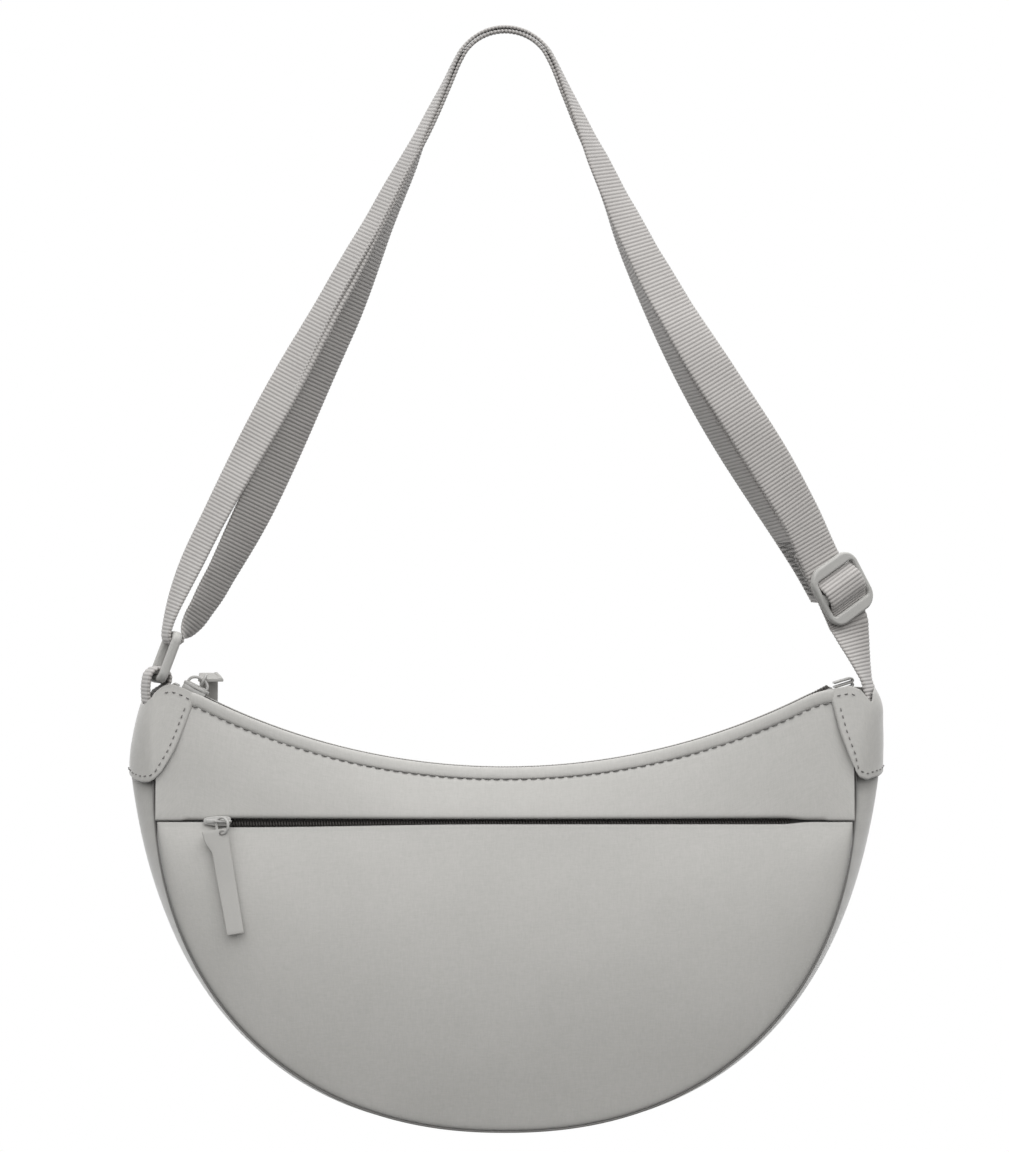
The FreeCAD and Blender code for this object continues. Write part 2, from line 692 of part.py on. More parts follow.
# Strap slider
glide_turn = math.radians(glide_angle)
pitch = math.radians(glide_pitch)
yaw_round = math.radians(glide_yaw)
flat_out = V(math.cos(glide_turn), 0, math.sin(glide_turn))
run_dir = V(math.sin(glide_turn) * math.cos(pitch), math.sin(pitch), -math.cos(glide_turn) * math.cos(pitch))
run_behind = flat_out.cross(run_dir)
run_out = flat_out * math.cos(yaw_round) + run_behind * math.sin(yaw_round)
run_back = run_behind * math.cos(yaw_round) - flat_out * math.sin(yaw_round)
glide_centre = V(neck_x - glide_inset, 0, mouth_end_z + glide_rise)
glide_inner = webbing_width + 2 * soft_gap
glide_width = glide_inner + 2 * glide_side
glide_height = 2 * glide_bar + 2 * glide_slot + glide_centre_bar
glide_y = -(webbing_thickness / 2 + seam_gap + glide_thickness / 2)
glide = rounded(glide_width, glide_height, glide_round, glide_thickness)
for side in (-1, 1):
    slot = rounded(glide_inner, glide_slot, 1.5, 2 * glide_thickness)
    slot.translate(V(0, 0, side * (glide_centre_bar + glide_slot) / 2))
    glide = glide.cut(slot)
glide = glide.makeFillet(glide_edge, [e for e in glide.Edges
                                      if abs(abs(e.CenterOfMass.y) - glide_thickness / 2) < 1e-6])
glide.translate(V(0, glide_y, 0))
save(place(glide, run_out, run_back, run_dir * -1, glide_centre), "strap_slider")

# Webbing over the slider's middle bar, and the sewn strap end behind the run
back_y = glide_y + glide_thickness / 2
front_y = glide_y - glide_thickness / 2 - seam_gap
reach = glide_centre_bar / 2 + glide_slot - seam_gap
top = glide_centre_bar / 2 + webbing_thickness
t = webbing_thickness
weave = Part.Face(polygon([V(0, back_y, -reach), V(0, front_y - t, -top), V(0, front_y - t, top),
                           V(0, back_y, reach), V(0, back_y, reach - 1.2 * t),
                           V(0, front_y, top - 0.6 * t), V(0, front_y, 0.6 * t - top),
                           V(0, back_y, 1.2 * t - reach)])).extrude(V(webbing_width, 0, 0))
weave.translate(V(-webbing_width / 2, 0, 0))
save(place(weave, run_out, run_back, run_dir * -1, glide_centre), "strap_weave")
behind = webbing_thickness / 2 + seam_gap
sewn = box(-webbing_width / 2, webbing_width / 2, behind, behind + 2 * webbing_thickness + layer_gap,
           0, sewn_length)
save(place(sewn, run_out, run_back, run_dir * -1, glide_centre), "strap_sewn_end")


# Strap: one webbing from the right end through the slider, over the arch, round the ring and back
class Station:
    def __init__(self, centre, way, twist=None, across=None, outward=None):
        self.centre = centre
        self.way = V(way).normalize()
        if across is None:
            side = outward - self.way * outward.dot(self.way)
            side.normalize()
            a = math.radians(twist)
            across = V(0, 1, 0) * math.cos(a) + side * math.sin(a)
        across = across - self.way * across.dot(self.way)
        self.across = across.normalize()
        self.thick = self.way.cross(self.across).normalize()

    def wire(self):
        w = self.across * (webbing_width / 2)
        t = self.thick * (webbing_thickness / 2)
        c = self.centre
        return polygon([c - w - t, c + w - t, c + w + t, c - w + t])


def hermite(p0, m0, p1, m1, t):
    h = (2 * t ** 3 - 3 * t ** 2 + 1, t ** 3 - 2 * t ** 2 + t, 3 * t ** 2 - 2 * t ** 3, t ** 3 - t ** 2)
    d = (6 * t ** 2 - 6 * t, 3 * t ** 2 - 4 * t + 1, 6 * t - 6 * t ** 2, 3 * t ** 2 - 2 * t)
    place_at = p0 * h[0] + m0 * h[1] + p1 * h[2] + m1 * h[3]
    way = p0 * d[0] + m0 * d[1] + p1 * d[2] + m1 * d[3]
    return place_at, way


def arm(start, end, outward, twists, steps, depths=((0, 0), (1, 0))):
    """Stations between two (place, way) ends, with twist and depth eased along the way."""
    (p0, m0), (p1, m1) = start, end
    found = []
    for i in range(1, steps):
        t = i / steps
        centre, way = hermite(p0, m0, p1, m1, t)
        centre.y += along(depths, t)
        found.append(Station(centre, way, along(twists, t), outward=outward))
    return found


def arch_stations(radius, twist, sign):
    """Stations over the hang arch, from left to right for sign 1."""
    found = []
    for i in range(-hang_steps, hang_steps + 1):
        a = math.radians(hang_angle * i / hang_steps) * sign
        centre = V(radius * math.sin(a), 0, radius * math.cos(a) - hang_radius)
        outward = V(math.sin(a), 0, math.cos(a))
        bend = twist * abs(i / hang_steps) ** 2
        found.append(Station(centre, V(math.cos(a), 0, -math.sin(a)) * sign, bend, outward=outward))
    return found


inner_r = hang_radius + webbing_thickness / 2
outer_r = inner_r + webbing_thickness + layer_gap
left_out = V(-1, 0, 0.5)
right_out = V(1, 0, 0.5)
edge = math.radians(hang_angle)


def arch_end(radius, sign):
    return V(sign * radius * math.sin(edge), 0, radius * math.cos(edge) - hang_radius)


leave = V(math.cos(edge), 0, -math.sin(edge))
wrap_r = bar_radius + seam_gap + webbing_thickness / 2
wrap_x = V(math.cos(yaw), math.sin(yaw), 0)


def wrap_station(angle):
    """A place on the wrap under the ring's top bar; 180 is the left side and 270 is below."""
    a = math.radians(angle)
    centre = top_bar + wrap_x * (wrap_r * math.cos(a)) + V(0, 0, wrap_r * math.sin(a))
    way = wrap_x * -math.sin(a) + V(0, 0, math.cos(a))
    return Station(centre, way, across=ring_side)


wrap = [wrap_station(175 + 143 * i / 8) for i in range(9)]

# Outer layer, from the right end up to the arch, over it and down to the ring
neck_top = V(neck_x, 0, swing_z)
run_top = glide_centre - run_dir * straight_run
run_low = glide_centre + run_dir * (glide_height / 2 + 2) - run_out * low_shift
foot = [Station(V(neck_x, 0, swing_z), V(0, 0, 1), 0, outward=right_out)]
low_way = run_low - neck_top
low_arm = arm((neck_top, low_way), (run_low, low_way), right_out, low_twists, 8)
run = [Station(run_low + (run_top - run_low) * (i / 4), run_dir * -1, across=run_out) for i in range(5)]
start = arch_end(outer_r, 1)
span = (start - run_top).Length
right_arm = arm((run_top, run_dir * -span), (start, leave * -span), right_out,
                right_twists, arm_steps)
over = arch_stations(outer_r, 15, -1)
start = arch_end(outer_r, -1)
end = wrap[0].centre
span = (end - start).Length
left_way = V(-leave.x, 0, leave.z)
left_arm = arm((start, left_way * span), (end, wrap[0].way * (0.35 * span)), left_out,
               left_twists, arm_steps)

# Inner layer, from the ring up, under the outer layer at the arch and down to the sewn end
start = wrap[-1].centre
end = arch_end(inner_r, -1)
span = (end - start).Length
inner_left = arm((start, wrap[-1].way * (0.35 * span)), (end, left_way * -span), left_out * -1,
                 inner_left_twists, arm_steps)
under_arch = arch_stations(inner_r, 0, 1)
start = arch_end(inner_r, 1)
end = glide_centre + run_dir * tail_drop - flat_out * tail_side
end.y = 0
span = (end - start).Length
inner_right = arm((start, V(leave.x, 0, leave.z) * span), (end, run_dir * (0.8 * span)), right_out * -1,
                  inner_right_twists, arm_steps, [(0, 0), (0.35, 2), (0.85, tail_depth), (1, tail_depth)])
tail_end = V(end)
tail_end.y = tail_depth
tail = [Station(tail_end, run_dir, inner_right_twists[-1][1], outward=right_out * -1)]

outer_part = foot + low_arm + run + right_arm + over + left_arm
inner_part = inner_left + under_arch + inner_right + tail
strap = loft([s.wire() for s in outer_part + wrap + inner_part], True)
tongue = box(neck_x - webbing_thickness / 2, neck_x + webbing_thickness / 2, -webbing_width / 2,
             webbing_width / 2, swing_z - swing_radius, swing_z)
tongue = tongue.common(Part.makeCylinder(swing_radius, 4 * webbing_thickness,
                                         V(neck_x - 2 * webbing_thickness, 0, swing_z), V(1, 0, 0)))
strap = strap.fuse(tongue).removeSplitter()
save(strap, "strap_webbing")

length = 0.0
whole = outer_part + wrap + inner_part
for a, b in zip(whole, whole[1:]):
    length += (b.centre - a.centre).Length
print("webbing length", round(length))
print("swing line z", round(swing_z, 2), "seat level", round(seat_z, 2), "arc centre z", round(arc_z, 2))
print("ring top bar", top_bar, "side", ring_side, "run", run_dir)
print("slider angle", round(slider_angle, 3), "travel", round(-2 * slider_angle, 3))
print("pocket ring pivot", pull_x, ring_y, pocket_z, "tab pivot", hang, "slope", math.degrees(slope))
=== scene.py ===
import math

import bpy
import numpy as np
from mathutils import Matrix, Vector, noise


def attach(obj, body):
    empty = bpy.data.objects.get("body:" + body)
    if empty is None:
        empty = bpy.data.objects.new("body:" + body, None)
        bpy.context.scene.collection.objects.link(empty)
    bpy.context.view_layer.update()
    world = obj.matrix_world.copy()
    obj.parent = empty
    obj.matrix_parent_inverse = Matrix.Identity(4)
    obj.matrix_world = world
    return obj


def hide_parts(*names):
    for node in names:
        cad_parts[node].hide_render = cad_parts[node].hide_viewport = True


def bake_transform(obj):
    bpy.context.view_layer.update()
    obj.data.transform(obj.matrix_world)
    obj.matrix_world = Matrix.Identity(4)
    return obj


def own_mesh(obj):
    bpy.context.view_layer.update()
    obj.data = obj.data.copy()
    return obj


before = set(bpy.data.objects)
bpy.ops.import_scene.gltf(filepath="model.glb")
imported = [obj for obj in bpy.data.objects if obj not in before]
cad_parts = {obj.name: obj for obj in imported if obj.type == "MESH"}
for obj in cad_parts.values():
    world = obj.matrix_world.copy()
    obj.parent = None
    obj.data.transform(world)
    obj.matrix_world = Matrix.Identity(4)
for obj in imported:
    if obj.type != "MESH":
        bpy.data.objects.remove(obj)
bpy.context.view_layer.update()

# Half moon shoulder bag. Shapes are worked out in millimetres and made in metres.
# +Z is up and the front faces -Y.
MM = 0.001

# Outline and depth of the bag
mouth_radius, arc_z = 287.0, -25.5
rim_bend, rim_soft = 128.0, 9.0
mouth_half, mouth_gain = 8.5, 2.5
bottom_z, seam_z, seam_half, seam_power = -464.5, -315.0, 148.5, 2.2
side_half, side_z, side_low, side_power = 162.1, -257.0, -465.6, 2.445
end_z, end_bulge, end_lean = -291.49, 10.6, 3.5
end_depth, depth_gain = 11.0, 21.0
pocket_z, pocket_depth, pocket_half = -334.5, 20.4, 121.5
slot_closed, slot_narrow, slot_wide = 0.15, 0.9, 2.2
slot_left, slot_right = -127.0, 129.0
drop_start, drop_run = 134.5, 14.0
yoke_half, panel_half, lining_half = 147.7, 146.8, 132.5
yoke_rise = 0.8

# Cloth: thicknesses, rolled edges, and stitches as pitch, share of the pitch and radius
shell, trim, cap_cloth, hem_cloth, tab_cloth = 1.2, 0.9, 0.8, 0.45, 0.9
lining_cloth, tape_cloth = 0.6, 0.5
edge_roll, seam_roll, gusset_roll, cap_roll = 1.1, 1.2, 1.3, 1.0
hem_width, hem_groove, hem_stitch_drop = 4.3, 5.5, 5.7
hem_left, hem_right = -133.5, 139.5
hem_stitch, cap_stitch = (3.9, 0.64, 0.3), (3.2, 0.52, 0.28)
seam_shade_thread, thread_top = 0.5, -311.0

# Strap, ring and length slider
web_width, web_thick, rib_pitch = 20.0, 1.6, 1.6
swing_z, neck_x = -274.55, 155.6
ring_yaw = math.radians(12.0)
bar_wide, bar_deep, bar_round = 3.6, 4.0, 1.5
top_bar = np.array([-141.0998, 0.7227, -256.439])
low_bar = np.array([-147.9, -0.7227, -274.551])
glide = np.array([141.9, 0.0, -236.595])
glide_height = 27.0
glide_turn, glide_pitch, glide_yaw = math.radians(28.0), math.radians(12.0), math.radians(30.0)
flat_out = np.array([math.cos(glide_turn), 0.0, math.sin(glide_turn)])
run_dir = np.array([math.sin(glide_turn) * math.cos(glide_pitch), math.sin(glide_pitch),
                    -math.cos(glide_turn) * math.cos(glide_pitch)])
run_behind = np.cross(flat_out, run_dir)
run_out = flat_out * math.cos(glide_yaw) + run_behind * math.sin(glide_yaw)
run_back = run_behind * math.cos(glide_yaw) - flat_out * math.sin(glide_yaw)
hang_radius, hang_angle, hang_twist = 20.0, math.radians(66.0), 4

# Zips
slider_angle, zip_half = math.radians(-27.438), math.radians(28.786)
slider_length, slider_width, slider_top = 11.5, 9.6, 2.7
bail_height, bail_radius = 4.0, 0.6
pull_shift, pocket_shift = 1.3, 2.4
tape_half, coil_start, coil_run, coil_y = 127.0, -115.5, 237.0, -17.1
coil_steps, coil_wire = 9, 0.34
coil_middle, coil_reach, coil_rise = 1.25, 1.15, 0.75
pull_length, pull_thick, pull_ridge, pull_edge, pull_hole = 45.0, 1.2, 0.5, 2.4, 1.3
full_turn = np.linspace(0, 2 * math.pi, 41)[:-1]


def ease(a, b, t):
    t = min(max(t, 0.0), 1.0)
    return a + (b - a) * t * t * (3 - 2 * t)


def along(pairs, t):
    """A value that eases from one (place, value) pair to the next."""
    for (t0, v0), (t1, v1) in zip(pairs, pairs[1:]):
        if t <= t1:
            return ease(v0, v1, (t - t0) / (t1 - t0))
    return pairs[-1][1]


def wave(x, z, size, seed=0.0):
    return noise.noise(Vector((x / size, z / size, seed)))


def unit(v):
    return v / np.linalg.norm(v, axis=-1, keepdims=True)


# Shapes of the shell

def seam_low(x, inset=0.0):
    w = min(abs(x) / (seam_half - inset), 1.0)
    return seam_z - (seam_z - bottom_z - inset) * (1 - w ** seam_power) ** (1 / seam_power)


def half_depth(z):
    u = min(max((end_z - z) / (end_z - bottom_z), 0.0), 1.0)
    return end_depth + depth_gain * math.sin(math.pi / 2 * u)


def rim_z(x):
    """Height of the top edge: the mouth's arc, which flattens towards the bag's ends."""
    x = abs(x)
    if x > rim_bend:
        x = rim_bend + rim_soft * (1 - math.exp((rim_bend - x) / rim_soft))
    return arc_z - math.sqrt(mouth_radius ** 2 - x ** 2)


def shell_top(x):
    """Height where the shell ends under the caps."""
    return rim_z(x) - ease(0, rim_z(seam_half) - end_z, (abs(x) - drop_start) / drop_run)


def mouth_depth(x):
    return mouth_half + mouth_gain * (x / seam_half) ** 2


def crown(x, middle, edge, half):
    return edge + (middle - edge) * max(1 - (x / half) ** 2, 0.0) ** 0.7


def bow(top, low, rise, t):
    """A place (depth, height) on a bowed line from top to low, and the way out of it."""
    (d0, z0), (d1, z1) = top, low
    chord = math.hypot(d1 - d0, z1 - z0)
    out = ((z0 - z1) / chord, (d1 - d0) / chord)
    lift = 4 * rise * t * (1 - t)
    return (d0 + (d1 - d0) * t + out[0] * lift, z0 + (z1 - z0) * t + out[1] * lift), out, chord


def slot_edge(x, wide):
    """Distance of the pocket's edge from the zip's middle; wide is its opening beside the slider."""
    inside = min(ease(0, 1, (x - slot_left) / 8), ease(0, 1, (slot_right - x) / 12))
    return slot_closed + inside * ease(wide, slot_narrow, (x + 115) / 110)


def yoke_line(x):
    low = (pocket_depth, pocket_z + slot_edge(x, slot_narrow))
    return (mouth_depth(x), shell_top(x)), low, yoke_rise


def panel_line(x):
    top, low = (pocket_depth, pocket_z - slot_edge(x, slot_wide)), seam_low(x)
    return top, (half_depth(low), low), crown(x, 9.0, 0.5, panel_half)


def back_crown(x):
    return crown(x, 12.0, 1.5, seam_half)


def back_line(x):
    low = seam_low(x)
    return (mouth_depth(x), shell_top(x)), (half_depth(low), low), back_crown(x)


def depth_at(line, z):
    """Depth of a bowed line at a height."""
    top, low, rise = line
    t = (top[1] - z) / (top[1] - low[1])
    for _ in range(4):
        (d, found), _, _ = bow(top, low, rise, t)
        t += (found - z) / (top[1] - low[1])
    return d


seam_xs = np.linspace(-seam_half, seam_half, 1201)
seam_zs = np.array([seam_low(x) for x in seam_xs])
seam_run = np.concatenate([[0], np.cumsum(np.hypot(np.diff(seam_xs), np.diff(seam_zs)))])


def seam_place(x):
    """Length along the bottom seam, and how level the seam runs there."""
    s = float(np.interp(x, seam_xs, seam_run))
    a, b = np.interp([s - 1, s + 1], seam_run, seam_zs)
    return s, math.sqrt(max(1 - ((b - a) / 2) ** 2, 0.02))


def rolled(edge, radius):
    """How far a fabric edge turns in, at a distance from the edge."""
    if edge >= radius:
        return 0.0
    return radius - math.sqrt(max(radius ** 2 - (radius - edge) ** 2, 0.0))


# Making meshes

def mesh_piece(name, made, paint, uv=None):
    """A piece from its (points, faces), smooth, in one material."""
    points, faces = made
    mesh = bpy.data.meshes.new(name)
    mesh.from_pydata((np.asarray(points, float) * MM).tolist(), [], faces)
    mesh.polygons.foreach_set("use_smooth", [True] * len(mesh.polygons))
    if uv is not None:
        layer = mesh.uv_layers.new(name="UVMap")
        corners = np.zeros(len(mesh.loops), np.int32)
        mesh.loops.foreach_get("vertex_index", corners)
        layer.data.foreach_set("uv", np.asarray(uv, np.float32)[corners].ravel())
    mesh.materials.append(paint)
    obj = bpy.data.objects.new(name, mesh)
    bpy.context.scene.collection.objects.link(obj)
    return obj


def attribute(obj, name, values):
    layer = obj.data.attributes.new(name, "FLOAT", "POINT")
    layer.data.foreach_set("value", np.asarray(values, np.float32).ravel())


def quads(rows, columns, close=False):
    """Faces of a grid of rows by columns; close joins the last column to the first."""
    faces = []
    for i in range(rows - 1):
        for j in range(columns if close else columns - 1):
            k = (j + 1) % columns
            faces.append((i * columns + j, i * columns + k, (i + 1) * columns + k, (i + 1) * columns + j))
    return faces


def swept_faces(rows, sides):
    """Faces of a section of so many sides swept through rows, with closed ends."""
    faces = [f[::-1] for f in quads(rows, sides, True)]
    return faces + [tuple(range(sides)), tuple(reversed(range((rows - 1) * sides, rows * sides)))]


def lengths(points, axis):
    steps = np.linalg.norm(np.diff(points, axis=axis), axis=-1)
    return np.insert(np.cumsum(steps, axis=axis), 0, 0, axis=axis)


def grid(rows, columns, place):
    """Points and shades of a sheet, by rows and columns, from a place that gives both."""
    found = [[place(row, column) for column in columns] for row in rows]
    return [[point for point, _ in row] for row in found], [[shade for _, shade in row] for row in found]


def cloth(name, points, paint, thickness, fold=None, flip=False, levels=1):
    """A sheet through a grid of points, thickened behind its face, and its area in square metres."""
    points = np.asarray(points, float)
    rows, columns = points.shape[:2]
    faces = quads(rows, columns)
    if flip:
        faces = [f[::-1] for f in faces]
    across = lengths(points, 1)
    across -= across[:, columns // 2][:, None]
    uv = np.stack([across, lengths(points, 0)], -1)
    obj = mesh_piece(name, (points.reshape(-1, 3), faces), paint, uv.reshape(-1, 2))
    # The fold values are painted shade for each point, which the woven material multiplies into the colour.
    if fold is not None:
        attribute(obj, "fold", fold)
    solid = obj.modifiers.new("thickness", "SOLIDIFY")
    solid.thickness = thickness * MM
    solid.offset = -1.0
    if levels:
        rounded = obj.modifiers.new("rounding", "SUBSURF")
        rounded.levels = rounded.render_levels = levels
    a, b, c, d = points[:-1, :-1], points[:-1, 1:], points[1:, 1:], points[1:, :-1]
    area = 0.5 * np.linalg.norm(np.cross(c - a, d - b), axis=-1).sum() * MM * MM
    return obj, area


def tube_mesh(points, radius, sides=8, closed=False):
    """Points and faces of a round wire along a line; radius may vary along it."""
    points = np.asarray(points, float)
    count = len(points)
    radius = np.broadcast_to(np.asarray(radius, float), (count,))
    if closed:
        ways = unit(np.roll(points, -1, 0) - np.roll(points, 1, 0))
    else:
        ways = unit(np.gradient(points, axis=0))
    side = np.cross(ways[0], [0.31, 0.42, 0.85])
    rings, turns = [], 2 * math.pi * np.arange(sides) / sides
    for point, way, r in zip(points, ways, radius):
        side = unit(side - way * side.dot(way))
        other = np.cross(way, side)
        rings += list(point + r * (np.outer(np.cos(turns), side) + np.outer(np.sin(turns), other)))
    faces = quads(count, sides, True)
    if closed:
        last = (count - 1) * sides
        turn = int(np.argmin([np.linalg.norm(rings[last] - rings[k]) for k in range(sides)]))
        for k in range(sides):
            faces.append((last + k, last + (k + 1) % sides, (k + 1 + turn) % sides, (k + turn) % sides))
    else:
        faces.append(tuple(reversed(range(sides))))
        faces.append(tuple(range((count - 1) * sides, count * sides)))
    return rings, faces


def gather(meshes):
    """Several (points, faces) pairs as one."""
    points, faces = [], []
    for some, theirs in meshes:
        start = len(points)
        points += list(some)
        faces += [tuple(start + i for i in f) for f in theirs]
    return points, faces


def between(places, run, values):
    """Rows of three values at places along a run of lengths."""
    return np.stack([np.interp(places, run, values[:, i]) for i in range(3)], -1)


stitch_lift = np.array([-0.45, -0.05, 0.14, 0.2, 0.14, -0.05, -0.45])
stitch_swell = np.array([0.7, 0.95, 1, 1, 1, 0.95, 0.7])


def stitches(name, rows, pitch, share, radius):
    """Rows of stitches, each sunk at both ends; a row is a line on the cloth and the ways out of it."""
    threads = []
    for line, outward in rows:
        line, outward = np.asarray(line, float), unit(np.asarray(outward, float))
        run = lengths(line, 0)
        for k in range(int(run[-1] / pitch)):
            s = (k + 0.27) * pitch + np.linspace(0, share * pitch, len(stitch_lift))
            places = between(s, run, line) + between(s, run, outward) * stitch_lift[:, None]
            threads.append(tube_mesh(places, radius * stitch_swell, 6))
    return mesh_piece(name, gather(threads), thread)


def slab(outline, low, high):
    """Points and faces of a plate with that outline in the XY plane."""
    n = len(outline)
    points = [(x, y, low) for x, y in outline] + [(x, y, high) for x, y in outline]
    faces = [tuple(reversed(range(n))), tuple(range(n, 2 * n))]
    faces += [(i, (i + 1) % n, n + (i + 1) % n, n + i) for i in range(n)]
    return points, faces


def rounded_outline(corners, radius, steps=5):
    """A polygon whose corners are rounded."""
    found = []
    n = len(corners)
    for i in range(n):
        p, c, q = (np.asarray(corners[k % n], float) for k in (i - 1, i, i + 1))
        a, b = p - c, q - c
        cut = min(radius, np.linalg.norm(a) / 2.1, np.linalg.norm(b) / 2.1)
        a, b = c + unit(a) * cut, c + unit(b) * cut
        for k in range(steps + 1):
            t = k / steps
            found.append(a * (1 - t) ** 2 + c * 2 * t * (1 - t) + b * t * t)
    return found


def bevel(obj, width, segments=3):
    edge = obj.modifiers.new("edges", "BEVEL")
    edge.width = width * MM
    edge.segments = segments
    edge.limit_method = "ANGLE"
    edge.angle_limit = math.radians(40)
    edge.harden_normals = False


def punch(obj, centre, way, radius):
    """Cuts a round hole through a piece."""
    centre, reach = np.asarray(centre, float), np.asarray(way, float) * 4
    wire = tube_mesh([centre - reach, centre + reach], radius, 24)
    cutter = mesh_piece("cutter", wire, obj.data.materials[0])
    cut = obj.modifiers.new("hole", "BOOLEAN")
    cut.object = cutter
    bpy.context.view_layer.update()
    mesh = bpy.data.meshes.new_from_object(obj.evaluated_get(bpy.context.evaluated_depsgraph_get()))
    obj.modifiers.clear()
    obj.data = mesh
    bpy.data.objects.remove(cutter)


# Materials

class Socket:
    """A shader value that takes part in sums."""

    def __init__(self, tree, out):
        self.tree, self.out = tree, out

    def node(self, kind, settings=None, values=None, out=0):
        """Any other node: its settings first, then its socket values or links."""
        made = self.tree.nodes.new(kind)
        for key, value in (settings or {}).items():
            setattr(made, key, value)
        for key, value in (values or {}).items():
            if isinstance(value, Socket):
                self.tree.links.new(value.out, made.inputs[key])
            else:
                made.inputs[key].default_value = value
        return Socket(self.tree, made.outputs[out])

    def maths(self, operation, *others):
        return self.node("ShaderNodeMath", {"operation": operation}, dict(enumerate((self,) + others)))

    def __add__(self, other):
        return self.maths("ADD", other)

    __radd__ = __add__

    def __mul__(self, other):
        return self.maths("MULTIPLY", other)

    __rmul__ = __mul__

    def __sub__(self, other):
        return self.maths("SUBTRACT", other)

    def __rsub__(self, other):
        return (self * -1.0) + other

    def sine(self):
        return self.maths("SINE")

    def noise(self, scale, detail=2.0):
        return self.node("ShaderNodeTexNoise", None, {"Vector": self, "Scale": scale, "Detail": detail})

    def stretched(self, x, y, z=1.0):
        return self.node("ShaderNodeMapping", None, {"Vector": self, "Scale": (x, y, z)})

    def part(self, axis):
        return self.node("ShaderNodeSeparateXYZ", None, {"Vector": self}, axis)

    def tint(self, dark, light):
        """A colour between two, by this value."""
        return self.node("ShaderNodeMix", {"data_type": "RGBA"},
                         {"Factor": self, 6: (*dark, 1.0), 7: (*light, 1.0)}, 2)

    def bump(self, strength, distance):
        return self.node("ShaderNodeBump", None,
                         {"Height": self, "Strength": strength, "Distance": distance})


def material(name, constants, varying, kind="UV"):
    """A surface: constants by socket, and what varies, from texture places and a reader of attributes."""
    made = bpy.data.materials.new(name)
    made.use_nodes = True
    tree = made.node_tree
    shader = tree.nodes["Principled BSDF"]
    for key, value in constants.items():
        shader.inputs[key].default_value = value
    place = Socket(tree, tree.nodes.new("ShaderNodeTexCoord").outputs[kind])

    def read(attribute_name):
        return place.node("ShaderNodeAttribute", {"attribute_name": attribute_name}, None, 2)

    for key, value in varying(place, read).items():
        tree.links.new(value.out, shader.inputs[key])
    return made


def woven(dark, light, rough, pitch=0.6, depth=0.05):
    """A plain weave with a fine grain, a slow drift of tone, and painted shade along creases, seams and
    rolled edges.
    """
    def varying(place, read):
        bent = place.node("ShaderNodeVectorMath", {"operation": "ADD"}, {
            0: place, 1: place.node("ShaderNodeTexNoise", None, {"Vector": place, "Scale": 0.15}, 1)})
        u, v = ((bent.part(axis) * (2 * math.pi / pitch)).sine() for axis in (0, 1))
        weave = u * v
        grain = bent.stretched(2.2, 0.35).noise(1.0, 3.0) + bent.stretched(0.35, 2.2).noise(1.0, 3.0)
        drift = place.noise(0.02, 3.0)
        tone = weave * 0.06 + grain * 0.55 + drift * 0.5 - 0.3
        # Painted shade: the fold attribute darkens the colour in creases, seams, grooves and along rolled
        # edges.
        shade = 1.0 - read("fold") * 0.8
        colour = tone.tint(dark, light)
        # folded is the colour with that painted shade multiplied in.
        folded = colour.node("ShaderNodeMix", {"data_type": "RGBA", "blend_type": "MULTIPLY"}, {
            "Factor": 1.0, 6: colour, 7: shade}, 2)
        return {"Base Color": folded, "Roughness": drift * 0.2 + (rough - 0.1),
                "Normal": (weave * 0.5 + grain).bump(0.35, depth * MM)}
    return varying


def ribbed(dark, light):
    """Webbing: light ribs with painted shade in the thin lines between them, and fine threads across the
    ribs.
    """
    def varying(place, read):
        threads = place.stretched(2.6, 0.5).noise(1.0, 3.0)
        wear = place.noise(0.03, 3.0)
        # Painted shade: the rib attribute, low in the valleys, darkens the lines between the ribs.
        tone = read("rib") * 0.75 + threads * 0.35 + wear * 0.35 - 0.3
        return {"Base Color": tone.tint(dark, light), "Roughness": wear * 0.2 + 0.55,
                "Normal": threads.bump(0.4, 0.08 * MM)}
    return varying


def plain(dark, light, rough, grain, depth):
    """A moulded or painted surface with a fine grain and slow changes of tone."""
    def varying(place, read):
        fine = place.noise(grain, 2.0)
        slow = place.noise(grain / 40, 3.0)
        return {"Base Color": (fine * 0.3 + slow * 0.7).tint(dark, light),
                "Roughness": slow * 0.15 + (rough - 0.07), "Normal": fine.bump(0.25, depth * MM)}
    return varying


shell_fabric = material("shell_fabric", {"Sheen Weight": 0.6, "Sheen Roughness": 0.4},
                        woven((0.36, 0.355, 0.335), (0.50, 0.49, 0.47), 0.55))
lining_fabric = material("lining_fabric", {"Sheen Weight": 0.1},
                         woven((0.16, 0.16, 0.155), (0.24, 0.24, 0.23), 0.6, 0.4, 0.03))
webbing = material("webbing", {"Sheen Weight": 0.2}, ribbed((0.17, 0.158, 0.152), (0.55, 0.53, 0.51)))
# Painted shade: the zip tape is coloured near black to stand for the shade in the narrow zip slots, darker
# than its own grey.
painted_dark_tape = material("zip_tape", {"Sheen Weight": 0.1},
                       woven((0.09, 0.084, 0.079), (0.16, 0.15, 0.142), 0.65, 0.5, 0.05))
# The thread's dark colour is partly its own and partly painted shade of the stitch holes and the grooves that
# it lies in.
thread = material("thread", {"Sheen Weight": 0.2},
                  plain((0.13, 0.125, 0.12), (0.2, 0.195, 0.185), 0.7, 1500.0, 0.05), "Object")
